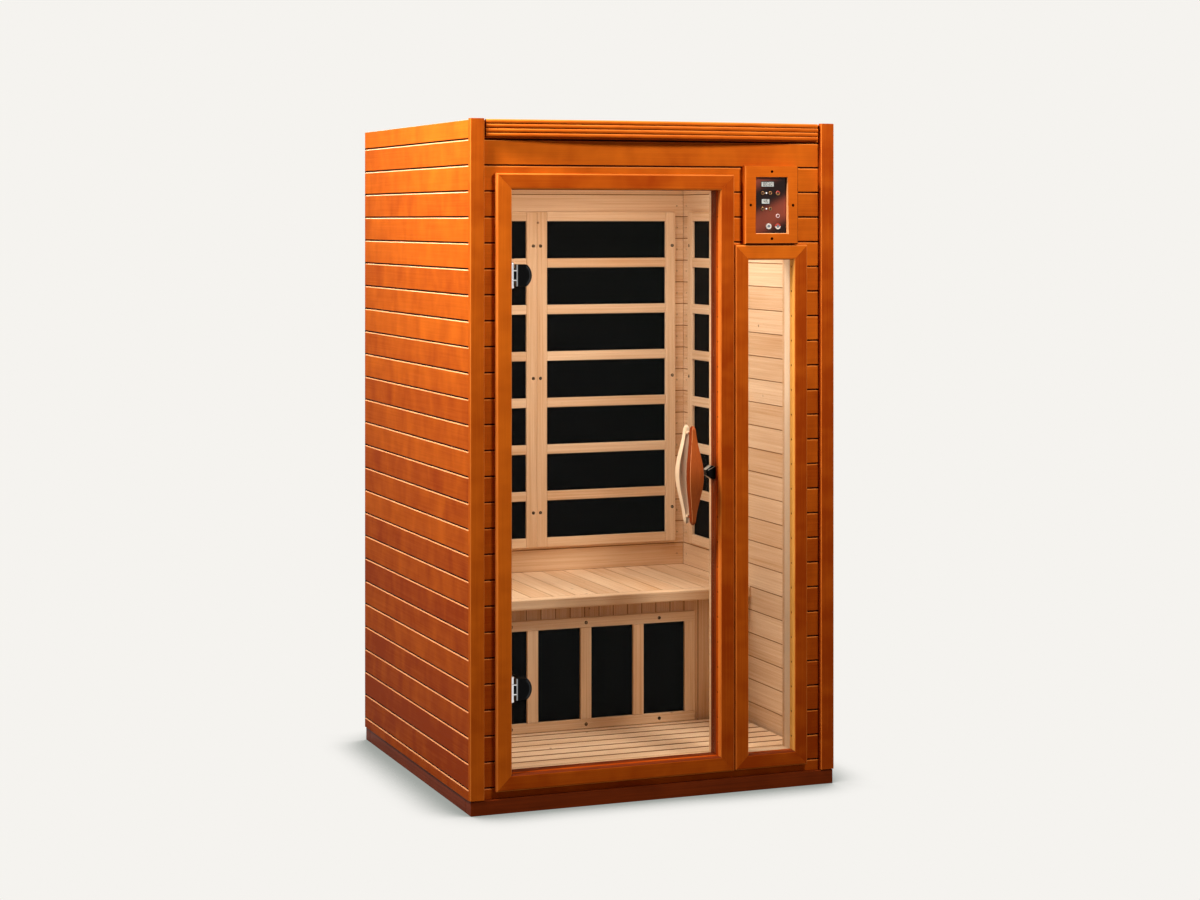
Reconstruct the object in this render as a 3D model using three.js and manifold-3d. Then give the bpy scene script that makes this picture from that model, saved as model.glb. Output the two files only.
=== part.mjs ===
// Infrared sauna cabin: a free-standing timber cabin with a glass door, a tall side window,
// carbon heater panels, a bench and a push-button control panel.
// Millimetres, +Z up. The origin is the middle of the plinth's underside, the door faces -Y.

import * as THREE from 'three';
import { mergeVertices } from 'three/addons/utils/BufferGeometryUtils.js';
import Module from 'manifold-3d';

const wasm = await Module();
wasm.setup();

// Cabin body
const WIDTH = 1110;
const DEPTH = 1000;
const HEIGHT = 1900;
const PLINTH_HEIGHT = 40;
const PLINTH_INSET = 3;
const PLINTH_DECK = 14;
const PLINTH_RIM = 45;
const JOIST_WIDTH = 30;
const JOIST_BAYS = 6;
const FIT = 0.3;

// Walls: boarded cladding outside, lining with its studs inside
const CLADDING_THICKNESS = 12;
const LINING_THICKNESS = 24;
const LINING_BOARD = 9;
const STUD_WIDTH = 45;
const WALL_TOP_DROP = 4;
const BOARD_PITCH = 70.9;
const FIRST_GROOVE = 33.7;
const GROOVE_GAP = 2.5;
const GROOVE_DEPTH = 4;
const BOARD_CHAMFER = 7;

// Front wall trim
const POST_WIDTH = 42;
const POST_THICKNESS = 16;
const POST_EDGE_RADIUS = 4;
const POST_FOOT_GAP = 2;
const FRONT_LINING_THICKNESS = 46;
const VISOR_HEIGHT = 49;
const VISOR_END_THICKNESS = 10;
const VISOR_BOW = 26;
const VISOR_END_GAP = 3;
const VISOR_REEDS = 4;
const VISOR_REED_ROUND = 4;
const VISOR_TOP_DROP = 2;

// Doorway and door frame
const DOOR_POST_GAP = 35;
const DOOR_SILL_LIFT = 65;
const DOOR_HEAD_GAP = 98;
const DOOR_FRAME_WIDTH = 45;
const FRAME_THICKNESS = 16;

// Glass door
const DOOR_GLASS_THICKNESS = 8;
const DOOR_GAP = 4;
const DOOR_GLASS_RECESS = 5;

// Glass hinges
const HINGE_SWING_GAP = 1.2;
const HINGE_SILL_DISTANCE = 226;
const HINGE_HEAD_DISTANCE = 236;
const HINGE_HEIGHT = 70;
const HINGE_KNUCKLE_RADIUS = 7;
const HINGE_KNUCKLE_LENGTH = 20;
const HINGE_ARM_THICKNESS = 10;
const HINGE_PIN_RADIUS = 3;
const HINGE_PIN_END = 2.2;
const HINGE_LEAF_THICKNESS = 2.2;
const HINGE_LEAF_WIDTH = 34;
const HINGE_WEB = 4;
const HINGE_CLAMP_HEIGHT = 62;
const HINGE_CLAMP_STRAIGHT = 9;
const HINGE_CLAMP_PLATE = 4;

// Door pulls, one on each side of the glass, and the bolts that join them
const HANDLE_EDGE_DISTANCE = 75;
const HANDLE_CENTRE = 796;
const HANDLE_LENGTH = 280;
const HANDLE_MID_WIDTH = 38;
const HANDLE_TIP_WIDTH = 15;
const HANDLE_END_THICKNESS = 15;
const HANDLE_MID_THICKNESS = 19;
const HANDLE_BOW = 30;
const HANDLE_BOLT_SPACING = 236;
const HANDLE_BOLT_RADIUS = 3;
const HANDLE_BOLT_GRIP = 8;
const HANDLE_STEPS = 14;

// Magnetic catch and its strike
const CATCH_CENTRE = 800;
const CATCH_HEIGHT = 38;
const CATCH_REACH = 24;
const CATCH_DEPTH = 20;
const CATCH_FLARE = 6;
const STRIKE_WIDTH = 20;
const STRIKE_PLATE = 2.5;

// Side window
const WINDOW_FRAME_GAP = 2;
const WINDOW_FRAME_WIDTH = 43;
const WINDOW_OPENING_WIDTH = 143;
const WINDOW_POST_GAP = 43;
const WINDOW_SILL_LIFT = 64;
const WINDOW_GLASS_THICKNESS = 6;
const WINDOW_GLASS_LAP = 12;

// Control panel
const CONTROL_WIDTH = 168;
const CONTROL_HEIGHT = 222;
const CONTROL_THICKNESS = 22;
const CONTROL_LIP = 8.7;
const CONTROL_OPENING_WIDTH = 100;
const CONTROL_OPENING_HEIGHT = 160;
const CONTROL_PLATE_LAP = 5;
const CONTROL_PLATE_THICKNESS = 3;
const CONTROL_OFFSET = 28;
const CONTROL_GAP = 2;
const CONTROL_HEAD_GAP = 73;
const DISPLAY_HEIGHT = 17;
const DISPLAY_DEPTH = 5;
const DISPLAY_PROUD = 1;
const TIME_DISPLAY_WIDTH = 42;
const HEAT_DISPLAY_WIDTH = 28;
const BUTTON_PROUD = 2.5;
const BUTTON_FLANGE = 1.5;

// Heaters
const HEATER_FRAME_THICKNESS = 16;
const HEATER_STILE = 35;
const HEATER_RAIL = 30;
const HEATER_ELEMENT_THICKNESS = 5;
const HEATER_POCKET_INSET = 12;
const BACK_HEATER_CORNER_GAP = 35.5;
const SIDE_HEATER_WIDTH = 380;
const SIDE_HEATER_BACK_GAP = 66;
const WALL_HEATER_LIFT = 79;
const WALL_HEATER_TOP_GAP = 131;
const WALL_HEATER_WINDOWS = 7;
const LEG_HEATER_END_GAP = 158;
const LEG_HEATER_TOP_GAP = 43;
const LEG_HEATER_WINDOWS = 4;

// Floor boards and bench
const SLAT_TOP_LIFT = 48;
const SLAT_THICKNESS = 14;
const SLAT_WIDTH = 50;
const SLAT_PITCH = 60;
const SLAT_END_GAP = 12;
const BEARER_WIDTH = 40;
const BEARER_INSET = 40;
const BEARER_COUNT = 3;
const BENCH_HEIGHT = 460;
const BENCH_DEPTH = 497;
const BENCH_THICKNESS = 33;
const BENCH_NOSE_RADIUS = 6;
const BENCH_OVERHANG = 80;
const KICK_THICKNESS = 12;

// Ceiling, roof and the supply box that stands on it
const CEILING_DROP = 120;
const CEILING_THICKNESS = 16;
const ROOF_THICKNESS = 14;
const LIGHT_RADIUS = 60;
const LIGHT_FACE_RADIUS = 54;
const LIGHT_DEPTH = 14;
const SUPPLY_WIDTH = 220;
const SUPPLY_DEPTH = 150;
const SUPPLY_HEIGHT = 55;
const SUPPLY_BACK_GAP = 120;
const SUPPLY_SHEET = 1.5;
const GLAND_RADIUS = 11;
const GLAND_BORE = 4.5;
const GLAND_LENGTH = 22;

// Finishes
const STAINED = { color: 0xb4561e, roughness: 0.38 };
const STAINED_DARK = { color: 0x5c2009, roughness: 0.45 };
const HEMLOCK = { color: 0xe6c398, roughness: 0.62 };
const CARBON = { color: 0x0d0c0e, roughness: 0.5 };
const GLASS = { color: 0xdfeeea, roughness: 0.04, transparent: true, opacity: 0.25 };
const CHROME = { color: 0xd8d9dc, roughness: 0.12, metalness: 1 };
const BLACK_METAL = { color: 0x17171a, roughness: 0.35, metalness: 0.6 };
const STEEL = { color: 0x9a9c9f, roughness: 0.4, metalness: 0.9 };
const PANEL_FACE = { color: 0x4a1410, roughness: 0.3 };
const DISPLAY_FACE = { color: 0xc6cbd0, roughness: 0.2 };
const DARK_KEY = { color: 0x3a1512, roughness: 0.35 };
const RED_KEY = { color: 0xb23a34, roughness: 0.35 };
const PALE_KEY = { color: 0xd9d5d2, roughness: 0.35 };
const BLACK_PLASTIC = { color: 0x151515, roughness: 0.55 };
const LAMP_FACE = { color: 0xf4efe2, roughness: 0.3 };

// Levels and planes worked out from the sizes above
const halfWidth = WIDTH / 2;
const halfDepth = DEPTH / 2;
const wallFoot = PLINTH_HEIGHT + FIT;
const wallTop = HEIGHT - WALL_TOP_DROP;
const ceilingLevel = HEIGHT - CEILING_DROP;
const roofLevel = ceilingLevel + CEILING_THICKNESS + FIT;
const roofTop = roofLevel + ROOF_THICKNESS;
const wallThickness = CLADDING_THICKNESS + FIT + LINING_THICKNESS;
const claddingInside = halfWidth - CLADDING_THICKNESS - FIT;
const roomHalfWidth = halfWidth - wallThickness;
const roomBack = halfDepth - wallThickness;
const frontFace = -halfDepth + POST_THICKNESS;
const frontCladdingBack = frontFace + CLADDING_THICKNESS;
const frontLiningFace = frontCladdingBack + FIT;
const roomFront = frontLiningFace + FRONT_LINING_THICKNESS;
const rearCladdingInside = halfDepth - CLADDING_THICKNESS - FIT;

// The door fills what the posts and the window leave of the front
const postInside = halfWidth - POST_WIDTH;
const visorTop = HEIGHT - VISOR_TOP_DROP;
const visorLow = visorTop - VISOR_HEIGHT;
const controlTop = visorLow - CONTROL_HEAD_GAP;
const windowRight = postInside - WINDOW_POST_GAP - WINDOW_FRAME_WIDTH;
const windowLeft = windowRight - WINDOW_OPENING_WIDTH;
const windowSill = PLINTH_HEIGHT + WINDOW_SILL_LIFT;
const windowTop = controlTop - CONTROL_HEIGHT - CONTROL_GAP - WINDOW_FRAME_WIDTH;
const doorLeft = -postInside + DOOR_POST_GAP + DOOR_FRAME_WIDTH;
const doorRight = windowLeft - WINDOW_FRAME_WIDTH - WINDOW_FRAME_GAP - DOOR_FRAME_WIDTH;
const doorSill = PLINTH_HEIGHT + DOOR_SILL_LIFT;
const doorTop = visorLow - DOOR_HEAD_GAP - DOOR_FRAME_WIDTH;

const benchTop = PLINTH_HEIGHT + BENCH_HEIGHT;
const benchLow = benchTop - BENCH_THICKNESS;
const benchFront = roomBack - BENCH_DEPTH;
const kickFront = benchFront + BENCH_OVERHANG;
const slatTop = PLINTH_HEIGHT + SLAT_TOP_LIFT;

const cabin = new THREE.Group();

function addMesh(parent, name, geometry, finish) {
  const mesh = new THREE.Mesh(geometry, new THREE.MeshStandardMaterial(finish));
  mesh.name = name;
  parent.add(mesh);
  return mesh;
}

// A closed three.js geometry as a solid that can be joined and cut
function solid(geometry) {
  const bare = geometry.clone();
  bare.deleteAttribute('normal');
  bare.deleteAttribute('uv');
  const merged = mergeVertices(bare, 1e-4);
  return new wasm.Manifold(new wasm.Mesh({
    numProp: 3,
    vertProperties: new Float32Array(merged.attributes.position.array),
    triVerts: new Uint32Array(merged.index.array),
  }));
}

// The geometry of a joined or cut solid
function surface(body) {
  const mesh = body.getMesh();
  const geometry = new THREE.BufferGeometry();
  geometry.setAttribute('position', new THREE.BufferAttribute(mesh.vertProperties, 3));
  geometry.setIndex(new THREE.BufferAttribute(mesh.triVerts, 1));
  geometry.computeVertexNormals();
  return geometry;
}

function box(x0, x1, y0, y1, z0, z1) {
  const geometry = new THREE.BoxGeometry(x1 - x0, y1 - y0, z1 - z0);
  return geometry.translate((x0 + x1) / 2, (y0 + y1) / 2, (z0 + z1) / 2);
}

// A box between two planes of Y that are given in either order
function slab(x0, x1, ya, yb, z0, z1) {
  return box(x0, x1, Math.min(ya, yb), Math.max(ya, yb), z0, z1);
}

function polygon(points) {
  return new THREE.Shape(points.map(([x, y]) => new THREE.Vector2(x, y)));
}

function rectangle(x0, x1, z0, z1) {
  return polygon([[x0, z0], [x1, z0], [x1, z1], [x0, z1]]);
}

// A rectangular hole, wound against the outline that it pierces
function rectangularHole(x0, x1, z0, z1) {
  return polygon([[x0, z0], [x0, z1], [x1, z1], [x1, z0]]);
}

function roundHole(x, z, radius) {
  return new THREE.Path().absarc(x, z, radius, 0, 2 * Math.PI, true);
}

// A shape drawn in the X-Z plane, given thickness from yFront back to yBack
function sheet(shape, yFront, yBack) {
  const geometry = new THREE.ExtrudeGeometry(shape, { depth: yBack - yFront, bevelEnabled: false });
  return geometry.rotateX(Math.PI / 2).translate(0, yBack, 0);
}

// A shape drawn in the Y-Z plane, given length from x0 to x1
function bar(shape, x0, x1) {
  const geometry = new THREE.ExtrudeGeometry(shape, { depth: x1 - x0, bevelEnabled: false });
  return geometry.rotateX(Math.PI / 2).rotateZ(Math.PI / 2).translate(x0, 0, 0);
}

// A round piece standing on Z
function post(radius, x, y, z0, z1) {
  const geometry = new THREE.CylinderGeometry(radius, radius, z1 - z0, 16);
  return geometry.rotateX(Math.PI / 2).translate(x, y, (z0 + z1) / 2);
}

// Horizontal boards: each has a chamfer along its top edge, under the gap to the next board.
// The outer face lies at y = outside and looks towards -Y.
function boards(x0, x1, outside) {
  const inside = outside + CLADDING_THICKNESS;
  const groove = outside + GROOVE_DEPTH;
  const outline = [[inside, wallFoot], [inside, wallTop], [outside, wallTop]];
  const first = PLINTH_HEIGHT + FIRST_GROOVE;
  const count = Math.floor((wallTop - GROOVE_GAP - first) / BOARD_PITCH) + 1;
  for (let i = count - 1; i >= 0; i -= 1) {
    const z = first + i * BOARD_PITCH;
    outline.push([outside, z + GROOVE_GAP], [groove, z + GROOVE_GAP], [groove, z]);
    outline.push([outside, z - BOARD_CHAMFER]);
  }
  outline.push([outside, wallFoot]);
  return bar(polygon(outline), x0, x1);
}

// A lining board with studs round its edge and one up its middle, on the side of the cladding
function studdedLining(x0, x1, face, back) {
  let body = solid(box(x0, x1, face, back, wallFoot, ceilingLevel - FIT));
  const middle = (x0 + x1) / 2;
  const bays = [
    [x0 + STUD_WIDTH, middle - STUD_WIDTH / 2],
    [middle + STUD_WIDTH / 2, x1 - STUD_WIDTH],
  ];
  for (const [left, right] of bays) {
    const bay = box(left, right, face - FIT, back - LINING_BOARD, wallFoot + STUD_WIDTH,
      ceilingLevel - FIT - STUD_WIDTH);
    body = body.subtract(solid(bay));
  }
  return surface(body);
}

// A wooden grille over a black carbon element, let into the back of the grille.
// facing is the side of the wall, along Y, that the grille stands on.
function addHeater(parent, name, x0, z0, width, height, columns, rows, wallY, facing) {
  const back = wallY + facing * FIT;
  const front = back + facing * HEATER_FRAME_THICKNESS;
  const mouth = back - facing * FIT;
  const pocketFloor = back + facing * (HEATER_ELEMENT_THICKNESS + FIT);
  const windowWidth = (width - (columns + 1) * HEATER_STILE) / columns;
  const windowHeight = (height - (rows + 1) * HEATER_RAIL) / rows;
  const inset = HEATER_POCKET_INSET;
  let grille = solid(slab(x0, x0 + width, back, front, z0, z0 + height));
  grille = grille.subtract(solid(slab(x0 + inset, x0 + width - inset, mouth, pocketFloor,
    z0 + inset, z0 + height - inset)));
  for (let column = 0; column < columns; column += 1) {
    for (let row = 0; row < rows; row += 1) {
      const left = x0 + HEATER_STILE + column * (windowWidth + HEATER_STILE);
      const low = z0 + HEATER_RAIL + row * (windowHeight + HEATER_RAIL);
      const opening = slab(left, left + windowWidth, mouth, front + facing * FIT, low, low + windowHeight);
      grille = grille.subtract(solid(opening));
    }
  }
  addMesh(parent, `${name}_heater_grille`, surface(grille), HEMLOCK);
  const edge = inset + FIT;
  const element = slab(x0 + edge, x0 + width - edge, back, back + facing * HEATER_ELEMENT_THICKNESS,
    z0 + edge, z0 + height - edge);
  addMesh(parent, `${name}_heater_element`, element, CARBON);
}

// Wall of boards and lining, drawn looking out towards -Y and turned to its side of the cabin
function addWall(name, turn, reach, claddingSpan, liningSpan) {
  const wall = new THREE.Group();
  wall.rotation.z = turn;
  cabin.add(wall);
  addMesh(wall, `${name}_wall_cladding`, boards(claddingSpan[0], claddingSpan[1], -reach), STAINED);
  const liningFace = -reach + CLADDING_THICKNESS + FIT;
  const lining = studdedLining(liningSpan[0], liningSpan[1], liningFace, liningFace + LINING_THICKNESS);
  addMesh(wall, `${name}_wall_lining`, lining, HEMLOCK);
  return wall;
}

// A deck on a rim and on joists that run from front to back, open below between them
function addPlinth() {
  const x = halfWidth - PLINTH_INSET;
  const y = halfDepth - PLINTH_INSET;
  let body = solid(box(-x, x, -y, y, 0, PLINTH_HEIGHT));
  const inside = x - PLINTH_RIM;
  const bay = (2 * inside - (JOIST_BAYS - 1) * JOIST_WIDTH) / JOIST_BAYS;
  for (let i = 0; i < JOIST_BAYS; i += 1) {
    const left = -inside + i * (bay + JOIST_WIDTH);
    body = body.subtract(solid(box(left, left + bay, PLINTH_RIM - y, y - PLINTH_RIM,
      -PLINTH_DECK, PLINTH_HEIGHT - PLINTH_DECK)));
  }
  addMesh(cabin, 'plinth', surface(body), STAINED_DARK);
}

function addWalls() {
  const sideFront = frontFace + FIT;
  const liningFront = roomFront + FIT;
  const liningBack = rearCladdingInside;
  const heaterLow = benchTop + WALL_HEATER_LIFT;
  const heaterHeight = ceilingLevel - WALL_HEATER_TOP_GAP - heaterLow;
  const heaterBack = roomBack - SIDE_HEATER_BACK_GAP;
  const quarterTurn = Math.PI / 2;

  const left = addWall('left', -quarterTurn, halfWidth, [-halfDepth, -sideFront],
    [-liningBack, -liningFront]);
  addHeater(left, 'left', -heaterBack, heaterLow, SIDE_HEATER_WIDTH, heaterHeight,
    1, WALL_HEATER_WINDOWS, -roomHalfWidth, 1);

  const right = addWall('right', quarterTurn, halfWidth, [sideFront, halfDepth],
    [liningFront, liningBack]);
  addHeater(right, 'right', heaterBack - SIDE_HEATER_WIDTH, heaterLow, SIDE_HEATER_WIDTH,
    heaterHeight, 1, WALL_HEATER_WINDOWS, -roomHalfWidth, 1);

  const liningHalf = roomHalfWidth - FIT;
  const rear = addWall('rear', Math.PI, halfDepth, [-claddingInside, claddingInside],
    [-liningHalf, liningHalf]);
  const seam = FIT / 2;
  const backWidth = roomHalfWidth - BACK_HEATER_CORNER_GAP - seam;
  addHeater(rear, 'rear_left', seam, heaterLow, backWidth, heaterHeight,
    1, WALL_HEATER_WINDOWS, -roomBack, 1);
  addHeater(rear, 'rear_right', -seam - backWidth, heaterLow, backWidth, heaterHeight,
    1, WALL_HEATER_WINDOWS, -roomBack, 1);
}

function addFrontWall() {
  const cutFront = frontFace - FIT;
  const cutBack = roomFront + FIT;
  const doorCut = solid(box(doorLeft, doorRight, cutFront, cutBack, doorSill, doorTop));
  const windowCut = solid(box(windowLeft, windowRight, cutFront, cutBack, windowSill, windowTop));
  const cladding = solid(boards(-claddingInside, claddingInside, frontFace));
  addMesh(cabin, 'front_wall_cladding', surface(cladding.subtract(doorCut).subtract(windowCut)), STAINED);

  const lap = WINDOW_GLASS_LAP;
  const paneFront = frontLiningFace;
  const paneBack = paneFront + WINDOW_GLASS_THICKNESS;
  const rebate = lap + FIT;
  const pocket = solid(box(windowLeft - rebate, windowRight + rebate, paneFront - FIT, paneBack + FIT,
    windowSill - rebate, windowTop + rebate));
  const lining = solid(box(-claddingInside, claddingInside, frontLiningFace, roomFront,
    wallFoot, ceilingLevel - FIT));
  const cutLining = lining.subtract(doorCut).subtract(windowCut).subtract(pocket);
  addMesh(cabin, 'front_wall_lining', surface(cutLining), HEMLOCK);
  addMesh(cabin, 'window_glass', box(windowLeft - lap, windowRight + lap, paneFront, paneBack,
    windowSill - lap, windowTop + lap), GLASS);
}

// Corner trim with its two front edges rounded
function cornerPost(x0, x1) {
  const radius = Math.min(POST_EDGE_RADIUS, POST_THICKNESS, POST_WIDTH / 2);
  const shape = new THREE.Shape();
  shape.moveTo(x1, frontFace);
  shape.lineTo(x0, frontFace);
  shape.absarc(x0 + radius, -halfDepth + radius, radius, Math.PI, 1.5 * Math.PI, false);
  shape.absarc(x1 - radius, -halfDepth + radius, radius, 1.5 * Math.PI, 2 * Math.PI, false);
  const geometry = new THREE.ExtrudeGeometry(shape, {
    depth: HEIGHT - PLINTH_HEIGHT - POST_FOOT_GAP,
    bevelEnabled: false,
    curveSegments: 4,
  });
  return geometry.translate(0, 0, PLINTH_HEIGHT + POST_FOOT_GAP);
}

// Reeded crown between the posts, bowed forward in its middle
function visor() {
  const halfLength = postInside - VISOR_END_GAP;
  const back = frontFace - FIT;
  const radius = (halfLength ** 2 + VISOR_BOW ** 2) / (2 * VISOR_BOW);
  const spread = Math.asin(halfLength / radius);
  const reedHeight = VISOR_HEIGHT / VISOR_REEDS;
  const round = Math.min(VISOR_REED_ROUND, reedHeight / 3);
  const shape = new THREE.Shape();
  shape.moveTo(halfLength - round, back - round);
  shape.lineTo(halfLength - round, back - VISOR_END_THICKNESS + round);
  const crownCentre = back - VISOR_END_THICKNESS - VISOR_BOW + radius + round;
  const bowAngle = spread * (halfLength - round) / halfLength;
  shape.absarc(0, crownCentre, radius, -Math.PI / 2 + bowAngle, -Math.PI / 2 - bowAngle, true);
  shape.lineTo(-halfLength + round, back - round);
  let body = null;
  for (let i = 0; i < VISOR_REEDS; i += 1) {
    const reed = new THREE.ExtrudeGeometry(shape, {
      depth: reedHeight - 2 * round + FIT,
      bevelThickness: round,
      bevelSize: round,
      bevelSegments: 2,
      curveSegments: 12,
    });
    reed.translate(0, 0, visorTop - (i + 1) * reedHeight + round);
    body = body ? body.add(solid(reed)) : solid(reed);
  }
  return surface(body);
}

// Mitred casing of the doorway, the head and sill a hair shorter than the mitre
function addDoorFrame() {
  const outerLeft = doorLeft - DOOR_FRAME_WIDTH;
  const outerRight = doorRight + DOOR_FRAME_WIDTH;
  const outerLow = doorSill - DOOR_FRAME_WIDTH;
  const outerTop = doorTop + DOOR_FRAME_WIDTH;
  const pieces = {
    door_frame_head: [[outerLeft + FIT, outerTop], [doorLeft + FIT, doorTop],
      [doorRight - FIT, doorTop], [outerRight - FIT, outerTop]],
    door_frame_sill: [[outerLeft + FIT, outerLow], [outerRight - FIT, outerLow],
      [doorRight - FIT, doorSill], [doorLeft + FIT, doorSill]],
    door_frame_left: [[outerLeft, outerLow], [doorLeft, doorSill],
      [doorLeft, doorTop], [outerLeft, outerTop]],
    door_frame_right: [[outerRight, outerLow], [outerRight, outerTop],
      [doorRight, doorTop], [doorRight, doorSill]],
  };
  const back = frontFace - FIT;
  for (const [name, points] of Object.entries(pieces)) {
    addMesh(cabin, name, sheet(polygon(points), back - FRAME_THICKNESS, back), STAINED);
  }
}

function addWindowFrame() {
  const width = WINDOW_FRAME_WIDTH;
  const shape = rectangle(windowLeft - width, windowRight + width,
    windowSill - width, windowTop + width);
  shape.holes.push(rectangularHole(windowLeft, windowRight, windowSill, windowTop));
  const back = frontFace - FIT;
  addMesh(cabin, 'window_frame', sheet(shape, back - FRAME_THICKNESS, back), STAINED);
}

// Door leaf planes and the hinge axis
const glassFront = frontCladdingBack + DOOR_GLASS_RECESS;
const glassBack = glassFront + DOOR_GLASS_THICKNESS;
const glassMiddle = (glassFront + glassBack) / 2;
const clampHalf = DOOR_GLASS_THICKNESS / 2 + FIT + HINGE_CLAMP_PLATE;
const leafFace = doorLeft + FIT + HINGE_LEAF_THICKNESS;
const hingeX = leafFace + HINGE_SWING_GAP + Math.max(clampHalf, HINGE_KNUCKLE_RADIUS);
const clampLeft = hingeX + HINGE_KNUCKLE_RADIUS + 2 * FIT;
const glassLeft = doorLeft + DOOR_GAP;
const notchLeft = clampLeft + HINGE_WEB + FIT;
const glassRight = doorRight - DOOR_GAP;
const glassLow = doorSill + DOOR_GAP;
const glassTop = doorTop - DOOR_GAP;
const handleX = glassRight - HANDLE_EDGE_DISTANCE;
const handleZ = doorSill + HANDLE_CENTRE;
const hingeLevels = { lower: doorSill + HINGE_SILL_DISTANCE, upper: doorTop - HINGE_HEAD_DISTANCE };
const boltLevels = [handleZ - HANDLE_BOLT_SPACING / 2, handleZ + HANDLE_BOLT_SPACING / 2];

// The glass is notched round each hinge, so that the rest of its edge stays close to the jamb
function addDoorGlass() {
  const points = [[glassRight, glassLow], [glassRight, glassTop], [glassLeft, glassTop]];
  const notch = HINGE_HEIGHT / 2 + HINGE_PIN_END + DOOR_GAP;
  for (const z of [hingeLevels.upper, hingeLevels.lower]) {
    points.push([glassLeft, z + notch], [notchLeft, z + notch]);
    points.push([notchLeft, z - notch], [glassLeft, z - notch]);
  }
  points.push([glassLeft, glassLow]);
  const shape = polygon(points);
  for (const z of boltLevels) {
    shape.holes.push(roundHole(handleX, z, HANDLE_BOLT_RADIUS + FIT));
  }
  addMesh(cabin, 'door_glass', sheet(shape, glassFront, glassBack), GLASS);
}

// Round bore for the hinge pin, longer than the hinge
function pinBore(z) {
  return solid(post(HINGE_PIN_RADIUS + FIT, hingeX, glassMiddle, z - HINGE_HEIGHT, z + HINGE_HEIGHT));
}

// A knuckle round the hinge axis and the arm that joins it to what lies between x0 and x1
function knuckle(x0, x1, z0, z1) {
  const arm = HINGE_ARM_THICKNESS / 2;
  const barrel = solid(post(HINGE_KNUCKLE_RADIUS, hingeX, glassMiddle, z0, z1));
  return barrel.add(solid(box(x0, x1, glassMiddle - arm, glassMiddle + arm, z0, z1)));
}

// Fixed leaf screwed to the jamb, with the two outer knuckles of the hinge
function hingeLeaf(z) {
  const x0 = doorLeft + FIT;
  const half = HINGE_HEIGHT / 2;
  const flank = HINGE_LEAF_WIDTH / 2;
  const leaf = solid(box(x0, leafFace, glassMiddle - flank, glassMiddle + flank, z - half, z + half));
  const low = knuckle(x0, hingeX, z - half, z - half + HINGE_KNUCKLE_LENGTH);
  const high = knuckle(x0, hingeX, z + half - HINGE_KNUCKLE_LENGTH, z + half);
  return surface(leaf.add(low).add(high).subtract(pinBore(z)));
}

// Moving half: the middle knuckle and the half-round clamp that grips the glass edge
function hingeClamp(z) {
  const radius = HINGE_CLAMP_HEIGHT / 2;
  const straight = clampLeft + HINGE_CLAMP_STRAIGHT;
  const shape = new THREE.Shape();
  shape.moveTo(clampLeft, z - radius);
  shape.lineTo(straight, z - radius);
  shape.absarc(straight, z, radius, -Math.PI / 2, Math.PI / 2, false);
  shape.lineTo(clampLeft, z + radius);
  const clamp = solid(sheet(shape, glassMiddle - clampHalf, glassMiddle + clampHalf));
  const half = HINGE_HEIGHT / 2 - HINGE_KNUCKLE_LENGTH - FIT;
  const middle = knuckle(hingeX, clampLeft + FIT, z - half, z + half);
  const slot = solid(box(notchLeft - FIT, straight + HINGE_CLAMP_HEIGHT, glassFront - FIT, glassBack + FIT,
    z - HINGE_HEIGHT, z + HINGE_HEIGHT));
  return surface(clamp.add(middle).subtract(slot).subtract(pinBore(z)));
}

function addHinges() {
  const reach = HINGE_HEIGHT / 2 + HINGE_PIN_END;
  for (const [name, z] of Object.entries(hingeLevels)) {
    addMesh(cabin, `${name}_hinge_leaf`, hingeLeaf(z), CHROME);
    const pin = post(HINGE_PIN_RADIUS, hingeX, glassMiddle, z - reach, z + reach);
    addMesh(cabin, `${name}_hinge_pin`, pin, STEEL);
    addMesh(cabin, `${name}_hinge_clamp`, hingeClamp(z), BLACK_METAL);
  }
}

// How far a pull has swelled or bowed at a height, 0 at its tips and 1 in its middle
function swell(z) {
  return Math.cos(Math.PI * z / HANDLE_LENGTH) ** 2;
}

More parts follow.
